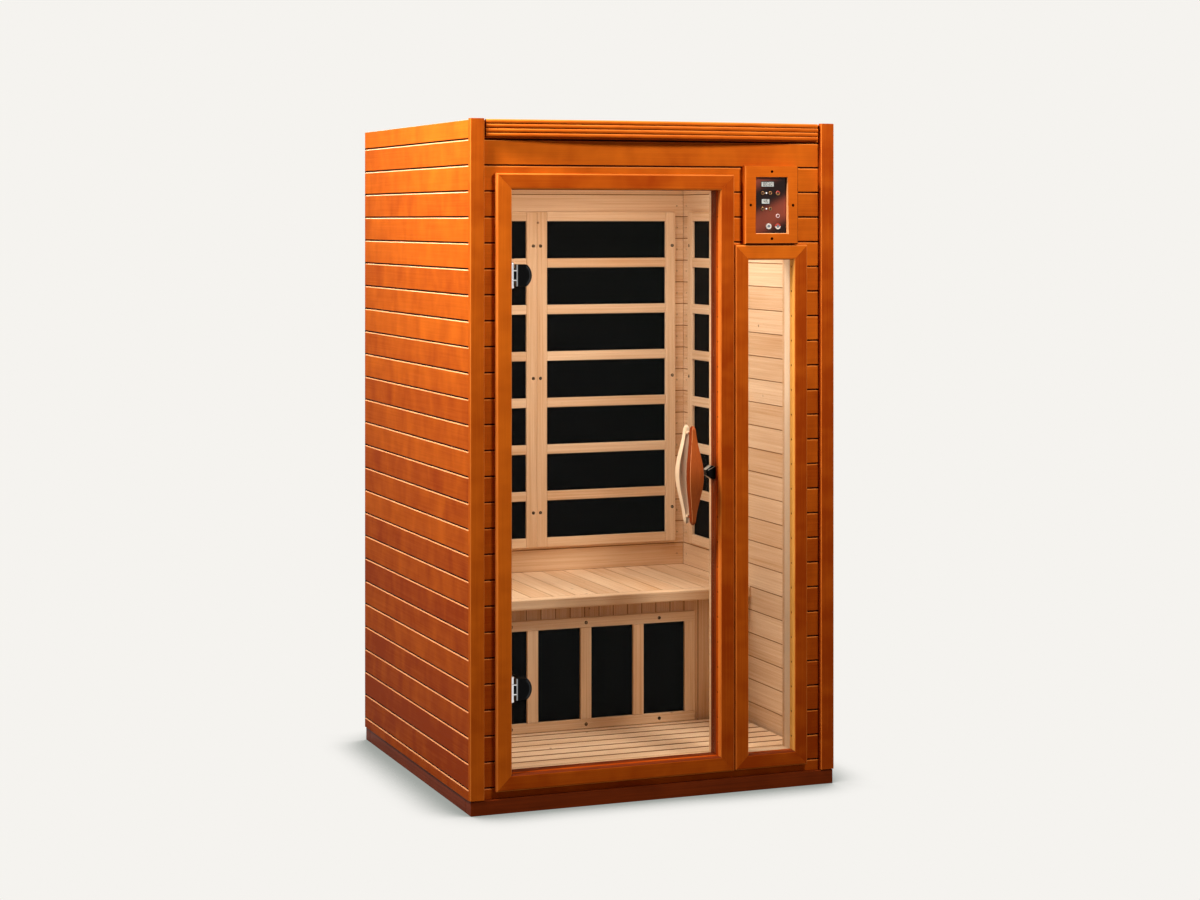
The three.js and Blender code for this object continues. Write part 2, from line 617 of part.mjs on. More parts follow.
// A leaf-shaped pull that bows away from the glass: its side view cut by its front view.
// side is -1 in front of the glass and 1 behind it.
function doorPull(side) {
  const face = side < 0 ? glassFront - FIT : glassBack + FIT;
  const half = HANDLE_LENGTH / 2;
  const reach = (z) => HANDLE_END_THICKNESS + HANDLE_BOW * swell(z);
  const gap = HANDLE_END_THICKNESS + HANDLE_BOW - HANDLE_MID_THICKNESS;
  const heights = [];
  for (let i = 0; i <= HANDLE_STEPS; i += 1) {
    heights.push(-half + HANDLE_LENGTH * i / HANDLE_STEPS);
  }
  const outer = heights.map((z) => [face + side * reach(z), handleZ + z]);
  const inner = heights.map((z) => [face + side * gap * swell(z), handleZ + z]).reverse();
  const ring = outer.concat(inner);
  const profile = polygon(side < 0 ? ring.reverse() : ring);
  const tip = HANDLE_TIP_WIDTH / 2;
  const belly = HANDLE_MID_WIDTH / 2 - tip;
  const flank = heights.filter((z) => Math.abs(z) < half - tip);
  const outline = new THREE.Shape();
  outline.absarc(handleX, handleZ - half + tip, tip, Math.PI, 2 * Math.PI, false);
  for (const z of flank) {
    outline.lineTo(handleX + tip + belly * swell(z), handleZ + z);
  }
  outline.absarc(handleX, handleZ + half - tip, tip, 0, Math.PI, false);
  for (const z of flank.reverse()) {
    outline.lineTo(handleX - tip - belly * swell(z), handleZ + z);
  }
  const depth = HANDLE_END_THICKNESS + HANDLE_BOW + FIT;
  const front = side < 0 ? face - depth : face;
  let body = solid(bar(profile, handleX - HANDLE_MID_WIDTH / 2, handleX + HANDLE_MID_WIDTH / 2));
  body = body.intersect(solid(sheet(outline, front, front + depth)));
  for (const z of boltLevels) {
    const grip = HANDLE_BOLT_GRIP + FIT;
    body = body.subtract(solid(boltRod(HANDLE_BOLT_RADIUS + FIT, z, face - grip, face + grip)));
  }
  return surface(body);
}

function boltRod(radius, z, y0, y1) {
  const geometry = new THREE.CylinderGeometry(radius, radius, y1 - y0, 12);
  return geometry.translate(handleX, (y0 + y1) / 2, z);
}

function addDoorPulls() {
  addMesh(cabin, 'outer_handle', doorPull(-1), STAINED);
  addMesh(cabin, 'inner_handle', doorPull(1), HEMLOCK);
  const names = ['lower_handle_bolt', 'upper_handle_bolt'];
  names.forEach((name, i) => {
    const rod = boltRod(HANDLE_BOLT_RADIUS, boltLevels[i], glassFront - HANDLE_BOLT_GRIP,
      glassBack + HANDLE_BOLT_GRIP);
    addMesh(cabin, name, rod, STEEL);
  });
}

// Magnet block on the jamb behind the glass, flared towards the jamb, and the strike on the glass
function addCatch() {
  const z = doorSill + CATCH_CENTRE;
  const half = CATCH_HEIGHT / 2;
  const right = doorRight - FIT;
  const left = right - CATCH_REACH;
  const strikeBack = glassBack + FIT + STRIKE_PLATE;
  const waist = half - CATCH_FLARE;
  const shape = polygon([[left, z - half], [(left + right) / 2, z - waist], [right, z - half],
    [right, z + half], [(left + right) / 2, z + waist], [left, z + half]]);
  const catchFront = strikeBack + FIT;
  addMesh(cabin, 'door_catch', sheet(shape, catchFront, catchFront + CATCH_DEPTH), BLACK_PLASTIC);

  const strikeRight = doorRight - DOOR_GAP / 2;
  const strikeLeft = glassRight - STRIKE_WIDTH;
  const clip = solid(box(strikeLeft, strikeRight, glassFront - FIT - STRIKE_PLATE, strikeBack,
    z - half, z + half));
  const slot = solid(box(strikeLeft - STRIKE_WIDTH, glassRight + FIT, glassFront - FIT, glassBack + FIT,
    z - CATCH_HEIGHT, z + CATCH_HEIGHT));
  addMesh(cabin, 'catch_strike', surface(clip.subtract(slot)), BLACK_METAL);
}

// Control panel: keys are placed from the middle of the plate
const controlX = windowLeft - WINDOW_FRAME_WIDTH + CONTROL_OFFSET + CONTROL_WIDTH / 2;
const controlZ = controlTop - CONTROL_HEIGHT / 2;
const controlFront = frontFace - FIT - CONTROL_THICKNESS;
const plateFront = controlFront + CONTROL_LIP + FIT;
const plateBack = plateFront + CONTROL_PLATE_THICKNESS;
const keys = [
  { name: 'time_down_button', x: -25.5, z: 34.5, radius: 5, finish: DARK_KEY },
  { name: 'time_up_button', x: -1.5, z: 34.5, radius: 5, finish: DARK_KEY },
  { name: 'power_button', x: 22.5, z: 34.5, radius: 6.5, finish: RED_KEY },
  { name: 'heat_down_button', x: -25.5, z: -10.5, radius: 5, finish: DARK_KEY },
  { name: 'heat_up_button', x: -1.5, z: -10.5, radius: 5, finish: DARK_KEY },
  { name: 'lamp_button', x: -6.5, z: -60.5, radius: 8.5, finish: PALE_KEY },
  { name: 'sound_button', x: 22.5, z: -60.5, radius: 8.5, finish: RED_KEY },
];
const displays = [
  { name: 'time_display', x: -9.5, z: 59.5, width: TIME_DISPLAY_WIDTH },
  { name: 'heat_display', x: -16, z: 10.5, width: HEAT_DISPLAY_WIDTH },
];

function addControlFrame() {
  const x = controlX;
  const z = controlZ;
  const back = frontFace - FIT;
  const shape = rectangle(x - CONTROL_WIDTH / 2, x + CONTROL_WIDTH / 2,
    z - CONTROL_HEIGHT / 2, z + CONTROL_HEIGHT / 2);
  shape.holes.push(rectangularHole(x - CONTROL_OPENING_WIDTH / 2, x + CONTROL_OPENING_WIDTH / 2,
    z - CONTROL_OPENING_HEIGHT / 2, z + CONTROL_OPENING_HEIGHT / 2));
  const ring = solid(sheet(shape, controlFront, back));
  const plateX = CONTROL_OPENING_WIDTH / 2 + CONTROL_PLATE_LAP;
  const plateZ = CONTROL_OPENING_HEIGHT / 2 + CONTROL_PLATE_LAP;
  const pocket = solid(box(x - plateX - FIT, x + plateX + FIT, plateFront - FIT, frontFace,
    z - plateZ - FIT, z + plateZ + FIT));
  addMesh(cabin, 'control_frame', surface(ring.subtract(pocket)), STAINED);

  const plate = rectangle(x - plateX, x + plateX, z - plateZ, z + plateZ);
  for (const key of keys) {
    plate.holes.push(roundHole(x + key.x, z + key.z, key.radius + FIT));
  }
  for (const display of displays) {
    const half = display.width / 2 + FIT;
    const tall = DISPLAY_HEIGHT / 2 + FIT;
    plate.holes.push(rectangularHole(x + display.x - half, x + display.x + half,
      z + display.z - tall, z + display.z + tall));
  }
  addMesh(cabin, 'control_plate', sheet(plate, plateFront, plateBack), PANEL_FACE);
}

function addDisplays() {
  for (const { name, x, z, width } of displays) {
    const front = plateFront - DISPLAY_PROUD;
    const block = new THREE.BoxGeometry(width, DISPLAY_DEPTH, DISPLAY_HEIGHT);
    block.translate(controlX + x, front + DISPLAY_DEPTH / 2, controlZ + z);
    addMesh(cabin, name, block, DISPLAY_FACE);
  }
}

// Push buttons turned about Y, each held in by a flange behind the plate
function addButtons() {
  for (const { name, x, z, radius, finish } of keys) {
    const seat = plateBack + FIT;
    const profile = [
      [0, plateFront - BUTTON_PROUD],
      [radius, plateFront - BUTTON_PROUD],
      [radius, seat],
      [radius + BUTTON_FLANGE, seat],
      [radius + BUTTON_FLANGE, seat + BUTTON_FLANGE],
      [0, seat + BUTTON_FLANGE],
    ];
    const points = profile.map(([r, y]) => new THREE.Vector2(r, y));
    const geometry = new THREE.LatheGeometry(points, 20);
    addMesh(cabin, name, geometry.translate(controlX + x, 0, controlZ + z), finish);
  }
}

// Duckboard: slats from wall to wall on bearers that run from front to back
function addFloor() {
  const half = roomHalfWidth - SLAT_END_GAP;
  const front = roomFront + SLAT_END_GAP;
  const back = kickFront - HEATER_FRAME_THICKNESS - SLAT_END_GAP;
  const count = Math.floor((back - front + SLAT_PITCH - SLAT_WIDTH) / SLAT_PITCH);
  const lastEdge = front + (count - 1) * SLAT_PITCH + SLAT_WIDTH;
  const slatLow = slatTop - SLAT_THICKNESS;
  const bearerSpan = 2 * (half - BEARER_INSET) - BEARER_WIDTH;
  let body = null;
  for (let i = 0; i < BEARER_COUNT; i += 1) {
    const x = -half + BEARER_INSET + bearerSpan * i / (BEARER_COUNT - 1);
    const bearer = solid(box(x, x + BEARER_WIDTH, front, lastEdge, wallFoot, slatLow + FIT));
    body = body ? body.add(bearer) : bearer;
  }
  for (let i = 0; i < count; i += 1) {
    const y = front + i * SLAT_PITCH;
    body = body.add(solid(box(-half, half, y, y + SLAT_WIDTH, slatLow, slatTop)));
  }
  addMesh(cabin, 'floor_duckboard', surface(body), HEMLOCK);
}

function addBench() {
  const back = roomBack - FIT;
  const radius = Math.min(BENCH_NOSE_RADIUS, BENCH_THICKNESS / 2);
  const shape = new THREE.Shape();
  shape.moveTo(back, benchLow);
  shape.lineTo(back, benchTop);
  shape.absarc(benchFront + radius, benchTop - radius, radius, Math.PI / 2, Math.PI, false);
  shape.absarc(benchFront + radius, benchLow + radius, radius, Math.PI, 1.5 * Math.PI, false);
  const half = roomHalfWidth - FIT;
  addMesh(cabin, 'bench_seat', bar(shape, -half, half), HEMLOCK);
  addMesh(cabin, 'bench_kick_panel', box(-half, half, kickFront, kickFront + KICK_THICKNESS,
    wallFoot, benchLow - FIT), HEMLOCK);
  const heaterHalf = roomHalfWidth - LEG_HEATER_END_GAP;
  const heaterLow = slatTop + FIT;
  const heaterHeight = benchLow - LEG_HEATER_TOP_GAP - heaterLow;
  addHeater(cabin, 'leg', -heaterHalf, heaterLow, 2 * heaterHalf, heaterHeight,
    LEG_HEATER_WINDOWS, 1, kickFront, -1);
}

function addRoof() {
  const half = claddingInside;
  addMesh(cabin, 'ceiling_panel', box(-half, half, frontLiningFace, rearCladdingInside,
    ceilingLevel, ceilingLevel + CEILING_THICKNESS), HEMLOCK);
  addMesh(cabin, 'roof_panel', box(-half, half, frontLiningFace, rearCladdingInside,
    roofLevel, roofTop), STAINED);

  const lamp = new THREE.CylinderGeometry(LIGHT_RADIUS, LIGHT_FACE_RADIUS, LIGHT_DEPTH, 32);
  lamp.rotateX(Math.PI / 2).translate(0, 0, ceilingLevel - FIT - LIGHT_DEPTH / 2);
  addMesh(cabin, 'ceiling_light', lamp, LAMP_FACE);

  const supplyBack = rearCladdingInside - SUPPLY_BACK_GAP;
  const supplyLow = roofTop + FIT;
  const supplyHalf = SUPPLY_WIDTH / 2;
  const supplyFront = supplyBack - SUPPLY_DEPTH;
  const supplyTop = supplyLow + SUPPLY_HEIGHT;
  const sheetCase = solid(box(-supplyHalf, supplyHalf, supplyFront, supplyBack, supplyLow, supplyTop));
  const hollow = box(SUPPLY_SHEET - supplyHalf, supplyHalf - SUPPLY_SHEET, supplyFront + SUPPLY_SHEET,
    supplyBack - SUPPLY_SHEET, supplyLow - SUPPLY_SHEET, supplyTop - SUPPLY_SHEET);
  const lead = new THREE.CylinderGeometry(GLAND_BORE, GLAND_BORE, 4 * SUPPLY_SHEET, 16);
  lead.translate(0, supplyBack, supplyLow + SUPPLY_HEIGHT / 2);
  addMesh(cabin, 'supply_box', surface(sheetCase.subtract(solid(hollow)).subtract(solid(lead))), STEEL);
  const glandFace = supplyBack + FIT;
  const profile = [
    [GLAND_BORE, glandFace],
    [GLAND_RADIUS, glandFace],
    [GLAND_RADIUS, glandFace + GLAND_LENGTH / 2],
    [(GLAND_RADIUS + GLAND_BORE) / 2, glandFace + GLAND_LENGTH],
    [GLAND_BORE, glandFace + GLAND_LENGTH],
    [GLAND_BORE, glandFace],
  ];
  const gland = new THREE.LatheGeometry(profile.map(([r, y]) => new THREE.Vector2(r, y)), 16);
  addMesh(cabin, 'cable_gland', gland.translate(0, 0, supplyLow + SUPPLY_HEIGHT / 2), BLACK_PLASTIC);
}

addPlinth();
addWalls();
addFrontWall();
addMesh(cabin, 'left_corner_post', cornerPost(-halfWidth, -halfWidth + POST_WIDTH), STAINED);
addMesh(cabin, 'right_corner_post', cornerPost(halfWidth - POST_WIDTH, halfWidth), STAINED);
addMesh(cabin, 'front_visor', visor(), STAINED);
addDoorFrame();
addWindowFrame();
addDoorGlass();
addHinges();
addDoorPulls();
addCatch();
addControlFrame();
addDisplays();
addButtons();
addFloor();
addBench();
addRoof();

export default cabin;
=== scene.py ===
"""Dresses the infrared sauna cabin: boards, joinery, heaters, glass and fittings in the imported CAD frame."""

import itertools
import logging
import math
from collections.abc import Callable, Iterable, Iterator
from dataclasses import dataclass, field
from enum import Enum

import bmesh
import bpy
from mathutils import Matrix, Vector


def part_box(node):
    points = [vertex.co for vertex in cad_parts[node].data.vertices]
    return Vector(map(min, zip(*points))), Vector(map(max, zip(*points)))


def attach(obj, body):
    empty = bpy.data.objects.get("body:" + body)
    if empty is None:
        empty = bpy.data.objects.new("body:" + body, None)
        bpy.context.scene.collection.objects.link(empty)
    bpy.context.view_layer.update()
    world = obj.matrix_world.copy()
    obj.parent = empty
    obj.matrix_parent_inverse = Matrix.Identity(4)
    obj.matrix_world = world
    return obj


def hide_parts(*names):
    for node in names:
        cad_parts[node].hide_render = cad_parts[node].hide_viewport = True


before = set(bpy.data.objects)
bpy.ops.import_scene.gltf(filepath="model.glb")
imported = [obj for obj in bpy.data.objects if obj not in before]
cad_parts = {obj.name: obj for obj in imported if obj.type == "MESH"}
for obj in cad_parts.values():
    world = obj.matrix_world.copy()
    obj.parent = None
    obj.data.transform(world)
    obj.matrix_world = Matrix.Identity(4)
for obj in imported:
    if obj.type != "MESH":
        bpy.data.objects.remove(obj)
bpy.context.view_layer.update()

log = logging.getLogger("sauna")
NEAR = 2e-5
Test = Callable[[Vector], bool]
Point = tuple[float, float, float]


def near(a: float, b: float) -> bool:
    """Whether two lengths in metres are the same but for rounding."""
    return abs(a - b) < NEAR


def linear(code: str) -> tuple[float, float, float, float]:
    """Turn an sRGB hex colour into linear values.

    Args:
        code: the colour as #RRGGBB.

    Returns:
        Linear red, green and blue, and an alpha of 1.
    """
    parts = [int(code[at:at + 2], 16) / 255 for at in (1, 3, 5)]
    red, green, blue = [c / 12.92 if c <= 0.04045 else ((c + 0.055) / 1.055) ** 2.4 for c in parts]
    return red, green, blue, 1.0


def add_node(tree: bpy.types.NodeTree, kind: str, inputs: dict | None = None, **settings) -> bpy.types.Node:
    """Add a shader node with its settings and links.

    Args:
        tree: the node tree that it goes into.
        kind: the node's class name.
        inputs: socket name or number to a value, or to the output socket that is linked there.
        settings: attributes of the node.

    Returns:
        The new node.
    """
    node = tree.nodes.new(kind)
    for key, value in settings.items():
        setattr(node, key, value)
    for key, value in (inputs or {}).items():
        if isinstance(value, bpy.types.NodeSocket):
            tree.links.new(value, node.inputs[key])
        else:
            node.inputs[key].default_value = value
    return node


class Axis(Enum):
    """The direction that a board's grain runs in."""

    X = 0
    Y = 1
    Z = 2


@dataclass(frozen=True)
class Finish:
    """A surface as it was made, which paints one procedural material."""

    name: str

    def material(self) -> bpy.types.Material:
        """Make the material, or give the one made before.

        Returns:
            The material of this finish.
        """
        made = bpy.data.materials.get(self.name)
        if made is None:
            made = bpy.data.materials.new(self.name)
            made.use_nodes = True
            self.paint(made.node_tree, made.node_tree.nodes["Principled BSDF"])
        return made

    def paint(self, tree: bpy.types.NodeTree, shader: bpy.types.Node) -> None:
        """Wire the finish into its shader."""
        raise NotImplementedError


@dataclass(frozen=True)
class Timber(Finish):
    """Planed softwood: streaks along the grain, cloudy figure across it, and each plank a tone of its own."""

    axis: Axis
    pale: str
    deep: str
    streak: float
    mottle: float
    tone: float
    rough: float
    specular: float
    grain_width: float
    grain_length: float
    figure_width: float
    figure_length: float
    knots: float = 0.0

    def scale(self, across: float, along: float) -> Point:
        """Texture scale for a pattern of these sizes, in metres, across and along the grain."""
        return tuple(1 / (along if axis == self.axis else across) for axis in Axis)

    def paint(self, tree: bpy.types.NodeTree, shader: bpy.types.Node) -> None:
        """Wire grain, figure and plank tone into colour, roughness and bump.

        Args:
            tree: the material's nodes.
            shader: its Principled shader.
        """
        place = add_node(tree, "ShaderNodeTexCoord").outputs["Object"]
        plank = add_node(tree, "ShaderNodeAttribute", attribute_name="plank")
        own = add_node(tree, "ShaderNodeVectorMath", operation="MULTIPLY_ADD", inputs={
            0: plank.outputs["Vector"], 1: (13.1, 7.7, 29.3), 2: place}).outputs[0]
        fine = add_node(tree, "ShaderNodeMapping", {
            "Vector": own, "Scale": self.scale(self.grain_width, self.grain_length)}).outputs[0]
        grain = add_node(tree, "ShaderNodeTexNoise", {
            "Vector": fine, "Scale": 1.0, "Detail": 4.0, "Roughness": 0.6, "Distortion": 0.35}).outputs[0]
        broad = add_node(tree, "ShaderNodeMapping", {
            "Vector": own, "Scale": self.scale(self.figure_width, self.figure_length)}).outputs[0]
        figure = add_node(tree, "ShaderNodeTexNoise", {
            "Vector": broad, "Scale": 1.0, "Detail": 2.0, "Roughness": 0.55, "Distortion": 0.2}).outputs[0]
        base = 0.5 - (self.streak + self.mottle + self.tone) / 2
        streaked = add_node(tree, "ShaderNodeMath", {0: grain, 1: self.streak, 2: base},
                            operation="MULTIPLY_ADD").outputs[0]
        clouded = add_node(tree, "ShaderNodeMath", {0: figure, 1: self.mottle, 2: streaked},
                           operation="MULTIPLY_ADD").outputs[0]
        toned = add_node(tree, "ShaderNodeMath", {0: plank.outputs["Fac"], 1: self.tone, 2: clouded},
                         operation="MULTIPLY_ADD", use_clamp=True).outputs[0]
        colour = add_node(tree, "ShaderNodeMix", {0: toned, 6: linear(self.deep), 7: linear(self.pale)},
                          data_type="RGBA").outputs[2]
        if self.knots:
            # knots of about 8 mm: cells of 50 mm, of which only a share holds one
            cells = add_node(tree, "ShaderNodeTexVoronoi", {"Vector": own, "Scale": 1 / 0.05})
            held = add_node(tree, "ShaderNodeMath", {0: cells.outputs["Color"], 1: self.knots},
                            operation="LESS_THAN").outputs[0]
            spot = add_node(tree, "ShaderNodeMapRange", {0: cells.outputs["Distance"], 1: 0.05, 2: 0.1, 3: 0.8, 4: 0.0})
            share = add_node(tree, "ShaderNodeMath", {0: held, 1: spot.outputs[0]}, operation="MULTIPLY").outputs[0]
            colour = add_node(tree, "ShaderNodeMix", {0: share, 6: colour, 7: linear("#6E4426")},
                              data_type="RGBA").outputs[2]
        tree.links.new(colour, shader.inputs["Base Color"])
        rough = add_node(tree, "ShaderNodeMath", {0: grain, 1: -0.16, 2: self.rough + 0.08},
                         operation="MULTIPLY_ADD").outputs[0]
        tree.links.new(rough, shader.inputs["Roughness"])
        bump = add_node(tree, "ShaderNodeBump", {"Strength": 0.25, "Distance": 0.0004, "Height": grain})
        tree.links.new(bump.outputs[0], shader.inputs["Normal"])
        shader.inputs["Specular IOR Level"].default_value = self.specular


@dataclass(frozen=True)
class Surface(Finish):
    """Metal or plastic: a base colour that drifts a little, with a fine texture in its roughness and bump."""

    base: str
    drift: str
    rough: float
    metallic: float = 0.0
    texture: float = 0.002
    relief: float = 0.00005
    specular: float = 0.5
    coat: float = 0.0
    glow: float = 0.0
    stretch: Point = (1.0, 1.0, 1.0)

    def paint(self, tree: bpy.types.NodeTree, shader: bpy.types.Node) -> None:
        """Wire the texture into colour, roughness and bump.

        Args:
            tree: the material's nodes.
            shader: its Principled shader.
        """
        place = add_node(tree, "ShaderNodeTexCoord").outputs["Object"]
        scale = tuple(part / self.texture for part in self.stretch)
        mapped = add_node(tree, "ShaderNodeMapping", {"Vector": place, "Scale": scale}).outputs[0]
        noise = add_node(tree, "ShaderNodeTexNoise", {
            "Vector": mapped, "Scale": 1.0, "Detail": 3.0, "Roughness": 0.6}).outputs[0]
        colour = add_node(tree, "ShaderNodeMix", {0: noise, 6: linear(self.base), 7: linear(self.drift)},
                          data_type="RGBA").outputs[2]
        tree.links.new(colour, shader.inputs["Base Color"])
        rough = add_node(tree, "ShaderNodeMath", {0: noise, 1: 0.14, 2: self.rough - 0.07},
                         operation="MULTIPLY_ADD", use_clamp=True).outputs[0]
        tree.links.new(rough, shader.inputs["Roughness"])
        bump = add_node(tree, "ShaderNodeBump", {"Strength": 0.4, "Distance": self.relief, "Height": noise})
        tree.links.new(bump.outputs[0], shader.inputs["Normal"])
        shader.inputs["Metallic"].default_value = self.metallic
        shader.inputs["Specular IOR Level"].default_value = self.specular
        shader.inputs["Coat Weight"].default_value = self.coat
        shader.inputs["Coat Roughness"].default_value = 0.1
        if self.glow:
            tree.links.new(colour, shader.inputs["Emission Color"])
            shader.inputs["Emission Strength"].default_value = self.glow


@dataclass(frozen=True)
class Glass(Finish):
    """Clear float glass: nearly nothing face on, and a pale sheen at a slant."""

    tint: str
    body: float
    sheen: float

    def paint(self, tree: bpy.types.NodeTree, shader: bpy.types.Node) -> None:
        """Wire a slant-dependent veil into the alpha, and faint wiping marks into the roughness.

        Args:
            tree: the material's nodes.
            shader: its Principled shader.
        """
        slant = add_node(tree, "ShaderNodeLayerWeight", {"Blend": 0.2}).outputs["Fresnel"]
        veil = add_node(tree, "ShaderNodeMath", {0: slant, 1: self.sheen, 2: self.body},
                        operation="MULTIPLY_ADD", use_clamp=True).outputs[0]
        tree.links.new(veil, shader.inputs["Alpha"])
        place = add_node(tree, "ShaderNodeTexCoord").outputs["Object"]
        # wiping marks 60 mm wide and 300 mm long
        wiped = add_node(tree, "ShaderNodeMapping", {"Vector": place, "Scale": (16.0, 16.0, 3.3)}).outputs[0]
        noise = add_node(tree, "ShaderNodeTexNoise", {"Vector": wiped, "Scale": 1.0, "Detail": 3.0}).outputs[0]
        rough = add_node(tree, "ShaderNodeMath", {0: noise, 1: 0.06, 2: 0.0},
                         operation="MULTIPLY_ADD").outputs[0]
        tree.links.new(rough, shader.inputs["Roughness"])
        shader.inputs["Base Color"].default_value = linear(self.tint)
        shader.inputs["IOR"].default_value = 1.52


@dataclass(frozen=True)
class PrintedPlate(Finish):
    """Screen-printed acrylic: soft slanting bands of brick red over near black, under a gloss face."""

    dark: str
    red: str
    middle: Point
    band: float

    def paint(self, tree: bpy.types.NodeTree, shader: bpy.types.Node) -> None:
        """Wire slanting bands and a print grain into the colour.

        Args:
            tree: the material's nodes.
            shader: its Principled shader.
        """
        place = add_node(tree, "ShaderNodeTexCoord").outputs["Object"]
        centre = tuple(-part for part in self.middle)
        slanted = add_node(tree, "ShaderNodeMapping", {
            "Vector": place, "Location": centre, "Rotation": (0.0, 0.45, 0.0)}).outputs[0]
        wave = add_node(tree, "ShaderNodeTexWave", {
            "Vector": slanted, "Scale": 0.314 / self.band, "Distortion": 0.6, "Detail": 1.0,
            "Detail Scale": 0.5, "Phase Offset": 2.4}, bands_direction="Z").outputs[1]
        # print grain of about 1 mm
        noise = add_node(tree, "ShaderNodeTexNoise", {"Vector": place, "Scale": 900.0, "Detail": 2.0}).outputs[0]
        mixed = add_node(tree, "ShaderNodeMath", {0: noise, 1: 0.25, 2: wave},
                         operation="MULTIPLY_ADD").outputs[0]
        soft = add_node(tree, "ShaderNodeMapRange", {0: mixed, 1: 0.2, 2: 1.15, 3: 0.0, 4: 1.0},
                        interpolation_type="SMOOTHSTEP").outputs[0]
        colour = add_node(tree, "ShaderNodeMix", {0: soft, 6: linear(self.dark), 7: linear(self.red)},
                          data_type="RGBA").outputs[2]
        tree.links.new(colour, shader.inputs["Base Color"])
        rough = add_node(tree, "ShaderNodeMath", {0: noise, 1: 0.1, 2: 0.18},
                         operation="MULTIPLY_ADD").outputs[0]
        tree.links.new(rough, shader.inputs["Roughness"])
        shader.inputs["Specular IOR Level"].default_value = 0.15


def stained(axis: Axis) -> Timber:
    """Hemlock under an orange-brown stain and gloss lacquer: warm cloudy boards with little open grain."""
    return Timber(f"Stained hemlock, lacquered, grain {axis.name}", axis, "#DC6F19", "#A03E0B", 0.5, 1.0, 0.8,
                  0.4, 0.006, 0.005, 0.3, 0.13, 0.085)


def painted_highlight(axis: Axis) -> Timber:
    """Painted highlight: the same stain drawn pale on edges where light glints."""
    return Timber(f"Stained hemlock, sanded edge, grain {axis.name}", axis, "#FBBA84", "#E18C52", 0.5, 1.0, 0.3,
                  0.35, 0.05, 0.005, 0.3, 0.06, 0.11)


def painted_edge_light(axis: Axis) -> Timber:
    """Painted highlight: the same stain one shade lighter, on rounded edges that catch the light."""
    return Timber(f"Stained hemlock, rubbed edge, grain {axis.name}", axis, "#EC8A3A", "#C2611C", 0.5, 1.0, 0.3,
                  0.35, 0.05, 0.005, 0.3, 0.06, 0.11)


def painted_reveal_light(axis: Axis) -> Timber:
    """Painted light: the same stain drawn honey yellow on a side in the window reveal, with the wood showing through.
    """
    return Timber(f"Stained hemlock, one thin coat, grain {axis.name}", axis, "#EEB25E", "#D69848", 0.5, 1.0, 0.3,
                  0.35, 0.05, 0.005, 0.3, 0.06, 0.11)


def dark_stain_and_painted_shade(axis: Axis) -> Timber:
    """Base timber under a heavier red-brown stain, satin: dark, with faint streaks; also drawn on faces as painted
    shade.
    """
    return Timber(f"Dark stained hemlock, grain {axis.name}", axis, "#8A3812", "#5A2008", 1.0, 0.8, 0.3,
                  0.45, 0.05, 0.006, 0.35, 0.1, 0.12)


def painted_shade(axis: Axis) -> Timber:
    """Painted shade: nearly black-brown, for tongues, grooves, ends and bevels that lie in shade."""
    return Timber(f"Stained hemlock, sunk tongue, grain {axis.name}", axis, "#4E1E0D", "#331309", 0.6, 0.6, 0.2,
                  0.5, 0.02, 0.006, 0.35, 0.1, 0.12)


def oiled(axis: Axis) -> Timber:
    """Beech turned leaf, oiled brown: redder and less golden than the stained boards, with close grain."""
    return Timber(f"Oiled beech, grain {axis.name}", axis, "#BC5C20", "#86380F", 0.9, 0.6, 0.2,
                  0.35, 0.12, 0.003, 0.12, 0.03, 0.1)


def bare_and_painted_light(axis: Axis) -> Timber:
    """Bare limewood: cream, close and even, without visible pores; also drawn as painted light on a side in the window
    reveal.
    """
    return Timber(f"Bare limewood, grain {axis.name}", axis, "#FFE9CC", "#EBCCA4", 0.7, 0.6, 0.2,
                  0.5, 0.1, 0.003, 0.12, 0.03, 0.1)


def hemlock(axis: Axis) -> Timber:
    """Planed hemlock, untreated: cream boards with fine tan growth lines, a few knots and a dry surface."""
    return Timber(f"Planed hemlock, grain {axis.name}", axis, "#FBE1BE", "#D0A274", 1.2, 0.7, 0.35,
                  0.62, 0.1, 0.0045, 0.45, 0.05, 0.5, 0.2)


def painted_joint_shade(axis: Axis) -> Timber:
    """Painted shade in a joint: the eased edge of a hemlock board drawn brown where the groove lies in shade."""
    return Timber(f"Planed hemlock, dusty joint, grain {axis.name}", axis, "#A97C52", "#80562F", 1.0, 0.6, 0.3,
                  0.7, 0.05, 0.0045, 0.45, 0.05, 0.5)


# Float glass has a slight green cast; its edges are polished
FLOAT_GLASS = Glass("Clear float glass", "#20302B", 0.035, 0.22)
# Carbon film under black laminate: nearly black with a cold satin sheen
CARBON_FILM = Surface("Carbon film laminate", "#020203", "#060508", 0.42, texture=0.006, specular=0.02)
# Chrome plate: bright and mirror-like, with hairline marks
CHROME = Surface("Chrome plate", "#F0F0F1", "#DEDFE1", 0.14, metallic=1.0, texture=0.004, relief=0.00002)
# Black enamel on steel: deep gloss with sharp highlights
ENAMEL = Surface("Black enamel on steel", "#060607", "#0D0D0F", 0.28, texture=0.003, specular=0.05)
# Painted reflection: black enamel drawn grey where its rim reflects the light
PAINTED_RIM_REFLECTION = Surface("Black enamel, polished rim", "#3C3E42", "#2A2B2E", 0.25, texture=0.003, specular=0.4)
# Painted highlight: black enamel drawn pale grey where its flanks glint
PAINTED_GLINT = Surface("Black enamel worn to the metal", "#A8A498", "#85827A", 0.25, texture=0.003, specular=0.5)
# Satin zinc: soft grey with a cloudy crystal pattern
ZINC = Surface("Zinc plated steel", "#9FA2A5", "#8A8D90", 0.38, metallic=1.0, texture=0.008)
# Moulded ABS: black with a fine spark-eroded texture
BLACK_ABS = Surface("Moulded black ABS", "#101010", "#1C1C1C", 0.45, texture=0.0012, relief=0.0001, specular=0.25)
# Blued screw: dark steel that catches little light
BLUED_STEEL = Surface("Blued screw steel", "#080403", "#030201", 0.6, texture=0.002, specular=0.0)
